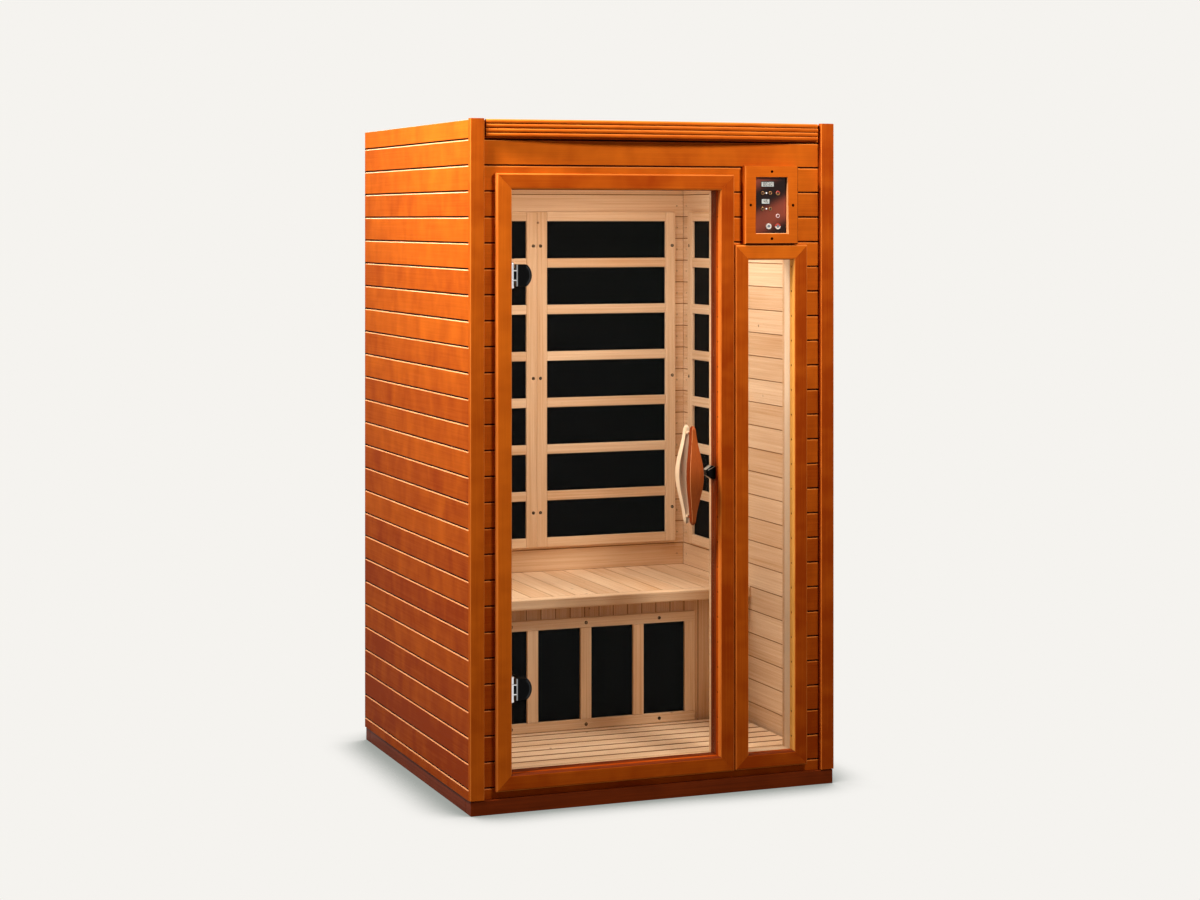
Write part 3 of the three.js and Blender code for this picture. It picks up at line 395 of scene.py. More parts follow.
# Liquid crystal glass: pale grey-green, glossy
LCD_GLASS = Surface("Liquid crystal glass", "#B9BDBA", "#CDD0CD", 0.2, texture=0.003, glow=0.15)
LCD_SEGMENT = Surface("Liquid crystal segment", "#1E2022", "#151718", 0.25, texture=0.003)
BEZEL = Surface("Gloss black bezel", "#120B0C", "#1C1012", 0.2, texture=0.003)
# Glossy moulded caps of the keys
DARK_CAP = Surface("Gloss maroon key cap", "#2A100E", "#3A1613", 0.25, texture=0.003)
RED_CAP = Surface("Gloss red key cap", "#C23A22", "#A82C18", 0.25, texture=0.003)
PALE_CAP = Surface("Gloss white key cap", "#E3DFDA", "#D2CEC9", 0.25, texture=0.003)
SLATE_CAP = Surface("Gloss slate key centre", "#77808C", "#6A727D", 0.25, texture=0.003)
GOLD_RING = Surface("Gilt key ring", "#B98A54", "#8F6337", 0.3, metallic=0.8, texture=0.003)
ROSE_RING = Surface("Pink socket ring", "#F1D9DA", "#E5C4C6", 0.3, texture=0.003)
LED_LENS = Surface("White diode lens", "#F3F1F6", "#FFFFFF", 0.2, texture=0.002, glow=0.5)
# Opal acrylic: milky, lit softly from behind
OPAL = Surface("Opal acrylic diffuser", "#F5EFE2", "#FFFBF0", 0.5, texture=0.01, glow=0.5)
WHITE_RIM = Surface("Moulded white rim", "#E4DED2", "#D8D1C4", 0.4, texture=0.002)
PANEL_PRINT = PrintedPlate("Printed acrylic plate", "#20110F", "#86402F", (0.353, -0.4973, 1.665), 0.12)


class Kind(Enum):
    """Mesh elements that an edit acts on."""

    VERT = "verts"
    EDGE = "edges"
    FACE = "faces"


def anywhere(point: Vector) -> bool:
    """A place test that every point passes."""
    return True


def plank_numbers() -> Iterator[float]:
    """Give each plank an even spread of numbers from 0 to 1 by the golden section.

    Returns:
        An endless run of numbers.
    """
    for count in itertools.count(1):
        yield count * 0.6180339887 % 1.0


PLANKS = plank_numbers()


class Blank:
    """A workpiece: a primitive that edit-mode operators shape, with its place kept in its mesh."""

    def __init__(self, obj: bpy.types.Object) -> None:
        """Take up an object as a workpiece."""
        self.obj = obj

    @staticmethod
    def clear() -> None:
        """Leave edit mode and deselect everything."""
        if bpy.context.object and bpy.context.object.mode != "OBJECT":
            bpy.ops.object.mode_set(mode="OBJECT")
        for obj in bpy.context.selected_objects:
            obj.select_set(False)

    @classmethod
    def block(cls, low: Iterable[float], high: Iterable[float]) -> "Blank":
        """Add a cube primitive stretched between two corners.

        Args:
            low: lowest corner.
            high: highest corner.

        Returns:
            The workpiece.
        """
        low, high = Vector(low), Vector(high)
        cls.clear()
        bpy.ops.mesh.primitive_cube_add(size=1, location=(low + high) / 2)
        bpy.context.object.scale = high - low
        bpy.ops.object.transform_apply(location=True, rotation=True, scale=True)
        return cls(bpy.context.object)

    @classmethod
    def rod(cls, start: Iterable[float], end: Iterable[float], radius: float, sides: int = 32) -> "Blank":
        """Add a cylinder primitive from one point to another.

        Args:
            start: middle of the first end.
            end: middle of the other end.
            radius: its radius.
            sides: number of its sides.

        Returns:
            The workpiece.
        """
        start, end = Vector(start), Vector(end)
        way = end - start
        cls.clear()
        bpy.ops.mesh.primitive_cylinder_add(vertices=sides, radius=radius, depth=way.length,
                                            location=(start + end) / 2,
                                            rotation=way.to_track_quat("Z", "Y").to_euler())
        bpy.ops.object.transform_apply(location=True, rotation=True, scale=True)
        return cls(bpy.context.object)

    def hold(self) -> None:
        """Make this the one selected and active object."""
        self.clear()
        self.obj.select_set(True)
        bpy.context.view_layer.objects.active = self.obj

    def pick(self, kind: Kind, test: Test) -> None:
        """Open the mesh for editing with the elements selected whose every corner passes a test.

        Args:
            kind: vertices, edges or faces.
            test: the place test.
        """
        self.hold()
        bpy.ops.object.mode_set(mode="EDIT")
        bpy.ops.mesh.select_mode(type=kind.name)
        bpy.ops.mesh.select_all(action="DESELECT")
        mesh = bmesh.from_edit_mesh(self.obj.data)
        for element in getattr(mesh, kind.value):
            corners = [element] if kind is Kind.VERT else element.verts
            element.select_set(all(test(corner.co) for corner in corners))
        mesh.select_flush_mode()
        bmesh.update_edit_mesh(self.obj.data)

    def close(self) -> "Blank":
        """Leave edit mode."""
        bpy.ops.object.mode_set(mode="OBJECT")
        return self

    def bevel(self, test: Test, width: float, steps: int = 3) -> "Blank":
        """Round the edges that pass a test."""
        self.pick(Kind.EDGE, test)
        bpy.ops.mesh.bevel(offset=width, segments=steps, affect="EDGES", clamp_overlap=True)
        return self.close()

    def extrude(self, test: Test, move: Iterable[float]) -> "Blank":
        """Draw out the faces that pass a test."""
        self.pick(Kind.FACE, test)
        bpy.ops.mesh.extrude_region_move(TRANSFORM_OT_translate={"value": tuple(move)})
        return self.close()

    def inset(self, test: Test, width: float, depth: float = 0.0) -> "Blank":
        """Inset the faces that pass a test; a depth below zero sinks them."""
        self.pick(Kind.FACE, test)
        bpy.ops.mesh.inset(thickness=width, depth=depth)
        return self.close()

    def shift(self, test: Test, move: Iterable[float]) -> "Blank":
        """Move the vertices that pass a test."""
        self.pick(Kind.VERT, test)
        bpy.ops.transform.translate(value=tuple(move))
        return self.close()

    def resize(self, test: Test, factors: Point, centre: Point) -> "Blank":
        """Scale the vertices that pass a test about a point."""
        self.pick(Kind.VERT, test)
        bpy.ops.transform.resize(value=factors, center_override=centre)
        return self.close()

    def subdivide(self, test: Test, cuts: int) -> "Blank":
        """Cut the edges that pass a test into equal parts."""
        self.pick(Kind.EDGE, test)
        bpy.ops.mesh.subdivide(number_cuts=cuts)
        return self.close()

    def bisect(self, point: Point, normal: Point, drop_below: bool = False) -> "Blank":
        """Cut the mesh with a plane.

        Args:
            point: a point of the plane.
            normal: its normal.
            drop_below: remove the side that the normal points away from, and close the cut.

        Returns:
            This workpiece.
        """
        self.pick(Kind.FACE, anywhere)
        bpy.ops.mesh.bisect(plane_co=point, plane_no=normal, use_fill=drop_below, clear_inner=drop_below)
        return self.close()

    def modify(self, kind: str, **settings) -> "Blank":
        """Add a modifier and apply it.

        Args:
            kind: the modifier's type.
            settings: its attributes.

        Returns:
            This workpiece.
        """
        self.hold()
        modifier = self.obj.modifiers.new(kind.lower(), kind)
        for key, value in settings.items():
            setattr(modifier, key, value)
        bpy.ops.object.modifier_apply(modifier=modifier.name)
        return self

    def ease(self, width: float, steps: int = 2, angle: float = 28.0) -> "Blank":
        """Take the sharpness off every edge that turns by more than an angle in degrees."""
        return self.modify("BEVEL", width=width, segments=steps, limit_method="ANGLE",
                           angle_limit=math.radians(angle))

    def carve(self, low: Iterable[float], high: Iterable[float]) -> "Blank":
        """Cut a box out of the workpiece.

        Args:
            low: the box's lowest corner.
            high: its highest corner.

        Returns:
            This workpiece.
        """
        cutter = Blank.block(low, high)
        cutter.obj.data.materials.append(self.obj.data.materials[0])
        self.modify("BOOLEAN", operation="DIFFERENCE", solver="EXACT", object=cutter.obj)
        cutter.remove()
        return self

    def turn(self, turned: Matrix) -> "Blank":
        """Turn the mesh itself by a matrix."""
        self.obj.data.transform(turned.to_4x4())
        return self

    def move(self, by: Iterable[float]) -> "Blank":
        """Move the mesh itself."""
        self.obj.data.transform(Matrix.Translation(Vector(by)))
        return self

    def flip(self) -> "Blank":
        """Turn every face round, as a mirrored mesh needs."""
        self.pick(Kind.FACE, anywhere)
        bpy.ops.mesh.flip_normals()
        return self.close()

    def copy(self, move: Iterable[float] = (0, 0, 0)) -> "Blank":
        """Make the same workpiece again, with a mesh of its own.

        Args:
            move: how far the copy is moved.

        Returns:
            The copy.
        """
        twin = self.obj.copy()
        twin.data = self.obj.data.copy()
        twin.data.transform(Matrix.Translation(Vector(move)))
        bpy.context.scene.collection.objects.link(twin)
        return Blank(twin)

    def remove(self) -> None:
        """Take the workpiece out of the scene."""
        bpy.data.objects.remove(self.obj, do_unlink=True)

    def mark(self, tone: float | None = None) -> "Blank":
        """Give every face this plank's own number, from which its grain and tone follow.

        Args:
            tone: the number, from 0 for a deep plank to 1 for a pale one; without it the next of the spread.

        Returns:
            This workpiece.
        """
        data = self.obj.data
        layer = data.attributes.get("plank") or data.attributes.new("plank", "FLOAT", "FACE")
        number = next(PLANKS) if tone is None else tone
        layer.data.foreach_set("value", [number] * len(data.polygons))
        return self

    def dress(self, finish: Finish) -> "Blank":
        """Give the whole workpiece one finish."""
        self.obj.data.materials.clear()
        self.obj.data.materials.append(finish.material())
        return self

    def patch(self, finish: Finish, test: Callable[[bpy.types.MeshPolygon], bool]) -> "Blank":
        """Give another finish to the faces that pass a test of their centre or normal.

        Args:
            finish: the finish of those faces.
            test: the test of a face.

        Returns:
            This workpiece.
        """
        data = self.obj.data
        data.materials.append(finish.material())
        for face in data.polygons:
            if test(face):
                face.material_index = len(data.materials) - 1
        return self

    def seat(self, name: str, body: str, slot: str, *nodes: str) -> "Blank":
        """Hand the finished piece to the frame.

        Args:
            name: the piece's name.
            body: the CAD body that it rides on.
            slot: a material slot name for its finish; not used.
            nodes: CAD nodes that it stands for.

        Returns:
            This workpiece.
        """
        self.hold()
        bpy.ops.object.shade_smooth_by_angle(angle=math.radians(35))
        self.modify("WEIGHTED_NORMAL", keep_sharp=True)
        self.obj.name = name
        self.obj.data.name = name
        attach(self.obj, body)
        if nodes:
            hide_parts(*nodes)
        log.info("%s: %d faces on %s", name, len(self.obj.data.polygons), body)
        return self


def join(blanks: Iterable[Blank]) -> Blank:
    """Join workpieces into one object.

    Args:
        blanks: the workpieces, each of its own material.

    Returns:
        The first of them, now holding all.
    """
    first, *others = blanks
    first.hold()
    for other in others:
        other.obj.select_set(True)
    if others:
        bpy.ops.object.join()
    return first


def dress_node(node: str, finish: Finish) -> None:
    """Give a CAD node that stays as it is a finish.

    Args:
        node: the node's name.
        finish: its finish.
    """
    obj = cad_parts[node]
    if not obj.material_slots:
        obj.data.materials.append(None)
    for held in obj.material_slots:
        held.material = finish.material()
    log.info("%s: CAD node in %s", node, finish.name)


class Facing(Enum):
    """Which way a panel shows its face: where its board direction, its inward side and its rise point."""

    FRONT = ((1, 0, 0), (0, 1, 0), (0, 0, 1))
    LEFT = ((0, -1, 0), (1, 0, 0), (0, 0, 1))
    RIGHT = ((0, 1, 0), (-1, 0, 0), (0, 0, 1))
    REAR = ((-1, 0, 0), (0, -1, 0), (0, 0, 1))
    DOWN = ((1, 0, 0), (0, 0, 1), (0, -1, 0))
    UP = ((1, 0, 0), (0, 0, -1), (0, 1, 0))
    UP_LENGTHWISE = ((0, 1, 0), (0, 0, -1), (-1, 0, 0))
    UPRIGHT = ((0, 0, 1), (0, 1, 0), (-1, 0, 0))

    def matrix(self) -> Matrix:
        """The turn from a panel that shows its face to the front."""
        return Matrix(self.value).transposed()

    def grain(self) -> Axis:
        """The world direction that its boards run in."""
        return list(Axis)[[abs(part) for part in self.value[0]].index(1)]

    def inner_box(self, low: Vector, high: Vector) -> tuple[Vector, Vector]:
        """Turn a world box into the panel's own directions.

        Args:
            low: lowest corner in the world.
            high: highest corner in the world.

        Returns:
            Lowest and highest corner in the panel's directions.
        """
        back = self.matrix().transposed()
        one, two = back @ Vector(low), back @ Vector(high)
        return Vector(map(min, one, two)), Vector(map(max, one, two))


@dataclass(frozen=True)
class BoardProfile:
    """The section of one board in a run: its pitch, the gap above it, and the chamfer of its upper edge."""

    pitch: float
    gap: float = 0.0
    depth: float = 0.0
    chamfer: float = 0.0
    ease: float = 0.0008


CLADDING = BoardProfile(0.0709, 0.0025, 0.004, 0.0044, 0.0006)
LINING = BoardProfile(0.0709, ease=0.0015)
BENCH_PLANK = BoardProfile(0.0709, ease=0.0012)
KICK_BOARD = BoardProfile(0.047, ease=0.0012)


@dataclass
class BoardPanel:
    """A wall, ceiling or seat made of boards laid edge to edge."""

    name: str
    node: str
    facing: Facing
    profile: BoardProfile
    wood: Callable[[Axis], Timber]
    slot: str
    first: float = 0.0
    low: Vector | None = None
    high: Vector | None = None
    edge: Callable[[Axis], Timber] | None = None
    seam: Callable[[Axis], Timber] | None = None
    nails: tuple[float, ...] = ()
    foot_tone: float = 0.5
    head_tone: float = 0.5
    spread: float = 1.0
    stopped: float = 0.0
    stop_length: float = 0.004
    stop_sunk: float = 0.0004
    openings: list[tuple[Point, Point]] = field(default_factory=list)

    def board(self, low: Vector, high: Vector, last: bool) -> Blank:
        """Model one board that shows its face to the front.

        Args:
            low: lowest corner of its place.
            high: highest corner of its place, its gap included.
            last: whether it is the top one, which has no neighbour to reach to.

        Returns:
            The board.
        """
        section = self.profile
        top = high.z if last else high.z - section.gap
        blank = Blank.block(low, (high.x, high.y, top))
        if section.chamfer and not last:
            blank.bisect((0, 0, top - section.chamfer), (0, 0, 1))
            blank.shift(lambda p: near(p.z, top) and near(p.y, low.y), (0, section.depth, 0))
            blank.bisect((0, 0, top - section.chamfer / 2), (0, 0, 1))
            blank.extrude(lambda p: near(p.z, top), (0, 0, section.gap))
        return blank.ease(section.ease)

    def stop(self, low: Vector, high: Vector) -> Blank:
        """Model the batten that closes a groove at the wall's corner, drawn near black as painted shade.

        Args:
            low: lowest corner of the board below the groove.
            high: highest corner of that board, its gap included.

        Returns:
            The stop, which fills the groove up to just under the boards' faces.
        """
        section = self.profile
        end = low.x if self.stopped < 0 else high.x
        inner = end - self.stopped * self.stop_length
        front, back = low.y + self.stop_sunk, low.y + section.depth
        top = high.z - section.gap
        foot = top - section.chamfer * (1 - self.stop_sunk / section.depth)
        stop = Blank.block((min(end, inner), front, foot), (max(end, inner), back, high.z))
        return stop.shift(lambda p: near(p.z, foot) and near(p.y, back), (0, 0, top - foot))

    def levels(self, low: float, high: float) -> list[float]:
        """Heights at which the boards meet, with both ends.

        Args:
            low: where the panel starts.
            high: where it ends.

        Returns:
            The levels, rising.
        """
        start = self.first if self.first else low + self.profile.pitch
        count = int((high - start) / self.profile.pitch) + 1
        inner = [start + step * self.profile.pitch for step in range(count)]
        return [low, *[level for level in inner if low + 0.002 < level < high - 0.004], high]

    def build(self) -> Blank:
        """Lay the boards, dress them, cut the openings and seat the panel.

        Returns:
            The finished panel.
        """
        node_low, node_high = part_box(self.node)
        low, high = self.facing.inner_box(self.low or node_low, self.high or node_high)
        grain = self.facing.grain()
        levels = self.levels(low.z, high.z)
        laid: list[Blank] = []
        pattern: Blank | None = None
        for bottom, top in zip(levels, levels[1:]):
            last = top is levels[-1]
            whole = near(top - bottom, self.profile.pitch) and not last
            if whole and pattern is not None:
                board = pattern.copy((0, 0, bottom - start))
            else:
                board = self.board(Vector((low.x, low.y, bottom)), Vector((high.x, high.y, top)), last)
                board.dress(self.wood(grain))
                if self.edge:
                    # the chamfer faces outwards and up; its lower half takes the edge timber: a painted highlight
                    board.patch(self.edge(grain), lambda face: face.normal.y < -0.2 and face.normal.z > 0.2)
                    # its upper half and the tongue in the gap are drawn near black: painted shade
                    sunk = low.y + self.profile.depth * 0.5
                    board.patch(painted_shade(grain), lambda face: face.normal.y < -0.2 and face.center.y > sunk)
                if self.seam:
                    # the eased edges of two boards make a fine dark line: painted shade in the joint
                    board.patch(self.seam(grain), lambda face: -0.95 < face.normal.y < -0.3 < abs(face.normal.z))
                if self.stopped and not last:
                    # the stop is drawn near black: painted shade at the groove's end
                    stop = self.stop(Vector((low.x, low.y, bottom)), Vector((high.x, high.y, top)))
                    stop.dress(painted_shade(Axis.Z))
                    board = join([board, stop])
                if whole:
                    pattern, start = board.copy(), bottom
            share = (bottom + top - 2 * low.z) / (2 * (high.z - low.z))
            even = self.foot_tone + (self.head_tone - self.foot_tone) * share
            board.mark(even + self.spread * (next(PLANKS) - 0.5)).turn(self.facing.matrix())
            for opening in self.openings:
                board.carve(*opening)
            laid.append(board)
        if pattern is not None:
            pattern.remove()
        if self.nails:
            head = Screw(0.0024, 0.0003).build((0, 0, 0), self.facing)
            places = [Vector((x, low.y, (bottom + top) / 2)) for x in self.nails
                      for bottom, top in zip(levels, levels[1:])]
            laid += [head.copy(self.facing.matrix() @ place) for place in places]
            head.remove()
        return join(laid).seat(self.name, "cabin", self.slot, self.node)


@dataclass
class Screw:
    """A blued countersunk screw: a dished head with a round recess."""

    radius: float = 0.003
    proud: float = 0.0006

    def build(self, place: Iterable[float], facing: Facing = Facing.FRONT) -> Blank:
        """Model the head and set it on a surface.

        Args:
            place: the point of the surface.
            facing: which way the surface faces.

        Returns:
            The screw head.
        """
        head = Blank.rod((0, -self.proud, 0), (0, 0.001, 0), self.radius, 16)
        head.bevel(lambda p: near(p.y, -self.proud), self.proud * 0.8, 2)
        head.inset(lambda p: near(p.y, -self.proud), self.radius * 0.3, -0.0004)
        return head.dress(BLUED_STEEL).turn(facing.matrix()).move(place)


@dataclass
class Plinth:
    """The dark floor base: a rim of four rails, joists across it and a deck let in flush."""

    deck: float = 0.014
    rim: float = 0.045
    joist: float = 0.030
    bays: int = 6

    def rail(self, low: Point, high: Point, axis: Axis) -> Blank:
        """One eased timber of the base."""
        return Blank.block(low, high).ease(0.0015).dress(dark_stain_and_painted_shade(axis)).mark()

    def build(self) -> None:
        """Lay rim, joists and deck, and seat them as one base."""
        low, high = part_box("plinth")
        parts = [self.rail((low.x, low.y, low.z), (high.x, low.y + self.rim, high.z), Axis.X),
                 self.rail((low.x, high.y - self.rim, low.z), (high.x, high.y, high.z), Axis.X)]
        for left in (low.x, high.x - self.rim):
            parts.append(self.rail((left, low.y + self.rim, low.z),
                                   (left + self.rim, high.y - self.rim, high.z), Axis.Y))
        inside = high.x - self.rim
        bay = (2 * inside - (self.bays - 1) * self.joist) / self.bays
        floor = high.z - self.deck
        for step in range(1, self.bays):
            left = -inside + step * bay + (step - 1) * self.joist
            parts.append(self.rail((left, low.y + self.rim, low.z),
                                   (left + self.joist, high.y - self.rim, floor), Axis.Y))
        parts.append(self.rail((-inside, low.y + self.rim, floor), (inside, high.y - self.rim, high.z), Axis.X))
        join(parts).seat("base_timbers", "cabin", "dark_stained_wood", "plinth")


@dataclass
class CornerPost:
    """A stained post over the end of the front boards, its front edges rounded."""

    side: str
    tone: float
    radius: float = 0.004

    def build(self) -> None:
        """Model the post and seat it."""
        node = f"{self.side}_corner_post"
        low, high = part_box(node)
        post = Blank.block(low, high)
        for level in (low.x, high.x):
            post.bevel(lambda p: near(p.y, low.y) and near(p.x, level), self.radius, 4)
        post.ease(0.0008).dress(stained(Axis.Z))
        # the rounded front edges are drawn lighter: painted highlight
        post.patch(painted_edge_light(Axis.Z), lambda face: face.normal.y < -0.3 and abs(face.normal.x) > 0.5)
        post.mark(self.tone).seat(f"{self.side}_front_post", "cabin", "stained_wood", node)


@dataclass
class Visor:
    """The reeded crown between the posts, bowed forwards in its middle."""

    reeds: int = 4
    bow: float = 0.026
    round_by: float = 0.0052
    steps: int = 32
    left_gap: float = 0.0035
    right_gap: float = 0.004

    def build(self) -> None:
        """Model the lowest reed, copy it upwards and seat the visor."""
        low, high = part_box("front_visor")
        pitch = (high.z - low.z) / self.reeds
        end_front = low.y + self.bow
        half = high.x
        low.x += self.left_gap
        high.x -= self.right_gap
        reed = Blank.block((low.x, end_front, low.z), (high.x, high.y, low.z + pitch))
        places = [low.x + (high.x - low.x) * step / self.steps for step in range(1, self.steps)]
        for place in places:
            reed.bisect((place, 0, 0), (1, 0, 0))
        for place in places:
            swell = self.bow * (1 - (place / half) ** 2)
            reed.shift(lambda p: near(p.x, place) and near(p.y, end_front), (0, -swell, 0))
        for level in (low.z, low.z + pitch):
            reed.bevel(lambda p: near(p.z, level) and p.y < high.y - 0.005, self.round_by, 4)
        reed.dress(stained(Axis.X))
        # the reeds' upper rounds are drawn lighter: painted light from above
        reed.patch(painted_edge_light(Axis.X), lambda face: face.normal.z > 0.3 and face.normal.y < -0.3)
        # the reeds' lower rounds are drawn dark: painted shade in the grooves
        reed.patch(dark_stain_and_painted_shade(Axis.X), lambda face: -0.98 < face.normal.z < -0.75)
        # the reeds' ends are drawn near black: painted shade in the gaps by the posts
        reed.patch(painted_shade(Axis.X), lambda face: abs(face.normal.x) > 0.9)
        reeds = [reed, *[reed.copy((0, 0, pitch * step)) for step in range(1, self.reeds)]]
        join([part.mark(0.5 + 0.3 * (next(PLANKS) - 0.5)) for part in reeds]).seat("reeded_visor", "cabin", "stained_wood", "front_visor")


@dataclass(frozen=True)
class Opening:
    """A rectangular opening in the front wall."""

    left: float
    right: float
    sill: float
    head: float

    def cut(self) -> tuple[Point, Point]:
        """A box that cuts the opening through the front wall."""
        return (self.left, -0.6, self.sill), (self.right, -0.4, self.head)

    def low(self) -> Vector:
        """Lowest corner of the opening."""
        return Vector((self.left, 0, self.sill))

    def high(self) -> Vector:
        """Highest corner of the opening."""
        return Vector((self.right, 0, self.head))


def mitred_frame(low: Vector, high: Vector, hole: Opening, round_by: float, wood: Callable[[Axis], Timber],
                 edge: Callable[[Axis], Timber] | None = None, inner_round: float | None = None,
                 tones: dict[str, float] | None = None) -> dict[str, Blank]:
    """Model the four mitred bars round an opening.

    Args:
        low: lowest corner of the frame.
        high: highest corner of the frame.
        hole: the opening that it leaves.
        round_by: radius of the front edges.
        wood: the bars' timber.
        edge: the timber on their rounded edges, where it differs.
        inner_round: radius of the edges next to the opening, where it differs.
        tones: each bar's tone by its place, from 0 for deep to 1 for pale.

    Returns:
        The bars by their place: head, sill, left and right.
    """
    places = {"head": ((low.x, low.y, hole.head), high), "sill": (low, (high.x, high.y, hole.sill)),
              "left": (low, (hole.left, high.y, high.z)), "right": ((hole.right, low.y, low.z), high)}
    bars = {}
    for place, (one, two) in places.items():
        one, two = Vector(one), Vector(two)
        bar = Blank.block(one, two)
        across, along = (0, 2) if place in ("left", "right") else (2, 0)
        inside = two[across] if place in ("left", "sill") else one[across]
        for end, reach in ((one[along], hole.low()[along]), (two[along], hole.high()[along])):
            move = Vector((0, 0, 0))
            move[along] = reach - end
            bar.shift(lambda p: near(p[across], inside) and near(p[along], end), move)
        for level in (one[across], two[across]):
            radius = inner_round if inner_round and level == inside else round_by
            bar.bevel(lambda p: near(p.y, one.y) and near(p[across], level), radius, 4)
        bar.ease(0.0005)
        axis = list(Axis)[along]
        bar.dress(wood(axis))
        if edge:
            # the rounded front edges take the edge timber: a painted highlight
            bar.patch(edge(axis), lambda face: face.normal.y < -0.3 and abs(face.normal[across]) > 0.5)
            if place in ("left", "right"):
                # faces towards the left are drawn lighter: painted highlight from light on the left
                bar.patch(painted_edge_light(axis), lambda face: face.normal.x < -0.4)
            elif place == "sill":
                # the sill's upward faces are drawn dark: painted shade
                bar.patch(dark_stain_and_painted_shade(axis), lambda face: face.normal.z > 0.4)
        bars[place] = bar.mark(tones[place] if tones else None)
    return bars


@dataclass
class Casing:
    """The stained frames round the door and the window, and the boards that line their reveals."""

    door: Opening
    window: Opening
    round_by: float = 0.006
    lining_front: float = -0.4717
    lining_mid: float = -0.4382
    jamb: float = 0.02

    def door_frame(self) -> None:
        """Model the four bars of the door frame, each its own piece."""
        low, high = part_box("door_frame_left")[0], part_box("door_frame_right")[1]
        # the left bar is drawn pale and the right one deep: partly each bar's own tone, partly painted light from the
        # left
        tones = {"head": 0.2, "sill": 0.2, "left": 0.8, "right": 0.05}
        for place, bar in mitred_frame(low, high, self.door, self.round_by, stained, painted_edge_light, tones=tones).items():
            bar.seat(f"door_casing_{place}", "cabin", "stained_wood", f"door_frame_{place}")

    def window_frame(self) -> None:
        """Model the window frame as one piece."""
        low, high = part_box("window_frame")
        # the head is drawn pale and the sill and right bar deep: partly each bar's own tone, partly painted light and
        # shade
        tones = {"head": 0.9, "sill": 0.0, "left": 0.3, "right": 0.0}
        bars = mitred_frame(low, high, self.window, self.round_by, stained, painted_edge_light, tones=tones)
        # the right bar's side in the reveal is drawn honey yellow: painted light in the reveal
        bars["right"].patch(painted_reveal_light(Axis.Z), lambda face: face.normal.x < -0.8)
        join(bars.values()).seat("window_casing", "cabin", "stained_wood", "window_frame")

    def reveals(self) -> None:
        """Line the door reveal with dark boards, their darkness painted shade, and the window reveal with plain ones.
        """
        # the door's jamb boards are drawn dark: painted shade in the reveal
        for name, hole, wood, slot in (("door_jamb_boards", self.door, dark_stain_and_painted_shade, "stained_wood"),
                                       ("window_jamb_boards", self.window, hemlock, "hemlock")):
            low = Vector((hole.left - self.jamb, self.lining_front, hole.sill - self.jamb))
            high = Vector((hole.right + self.jamb, self.lining_mid, hole.head + self.jamb))
            bars = mitred_frame(low, high, hole, 0.0008, wood)
            if hole is self.window:
                # the right board's side is drawn pale: painted light in the reveal
                bars["right"].patch(bare_and_painted_light(Axis.Z), lambda face: face.normal.x < -0.4)
            join(bars.values()).seat(name, "cabin", slot)


@dataclass
class Walls:
    """Outer cladding, inner linings, ceiling and roof."""

    door: Opening
    window: Opening
    first: float = 0.0737
    inner_board: float = 0.0123

    def build(self) -> None:
        """Lay every panel of boards."""
        holes = [self.door.cut(), self.window.cut()]
        # the side walls' grooves are closed at their rear ends by near-black stops: painted shade
        stops = {Facing.LEFT: -1.0, Facing.RIGHT: 1.0}
        for side in (Facing.LEFT, Facing.RIGHT, Facing.REAR, Facing.FRONT):
            name = side.name.lower()
            # the boards run from deep at the foot to pale at the head: painted light from above, besides each board's
            # own tone
            boards = BoardPanel(f"{name}_cladding_boards", f"{name}_wall_cladding", side, CLADDING, stained,
                                "stained_wood", self.first, edge=painted_edge_light if side is Facing.FRONT else painted_highlight,
                                foot_tone=0.0, head_tone=0.75, spread=0.38, stopped=stops.get(side, 0.0),
                                openings=holes if side is Facing.FRONT else []).build()
            if side is Facing.FRONT:
                # cut ends in the window reveal are drawn honey yellow: painted light in the reveal
                boards.patch(painted_reveal_light(Axis.X), lambda face: face.normal.x < -0.8
                             and near(face.center.x, self.window.right))
        for name, side in (("left", Facing.RIGHT), ("right", Facing.LEFT), ("rear", Facing.FRONT)):
            ends = (-0.495, 0.495) if side is Facing.FRONT else (-0.442, 0.39)
            BoardPanel(f"{name}_lining_boards", f"{name}_wall_lining", side, LINING, hemlock, "hemlock",
                       self.first, seam=painted_joint_shade, nails=ends).build()
        low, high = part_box("front_wall_lining")
        low.y = high.y - self.inner_board
        BoardPanel("front_lining_boards", "front_wall_lining", Facing.REAR, LINING, hemlock, "hemlock",
                   self.first, low, high, seam=painted_joint_shade, openings=holes).build()
        BoardPanel("ceiling_boards", "ceiling_panel", Facing.DOWN, LINING, hemlock, "hemlock", seam=painted_joint_shade).build()
        BoardPanel("roof_boards", "roof_panel", Facing.UP, LINING, dark_stain_and_painted_shade, "stained_wood",
                   seam=painted_shade, foot_tone=0.4, head_tone=0.4, spread=0.5).build()


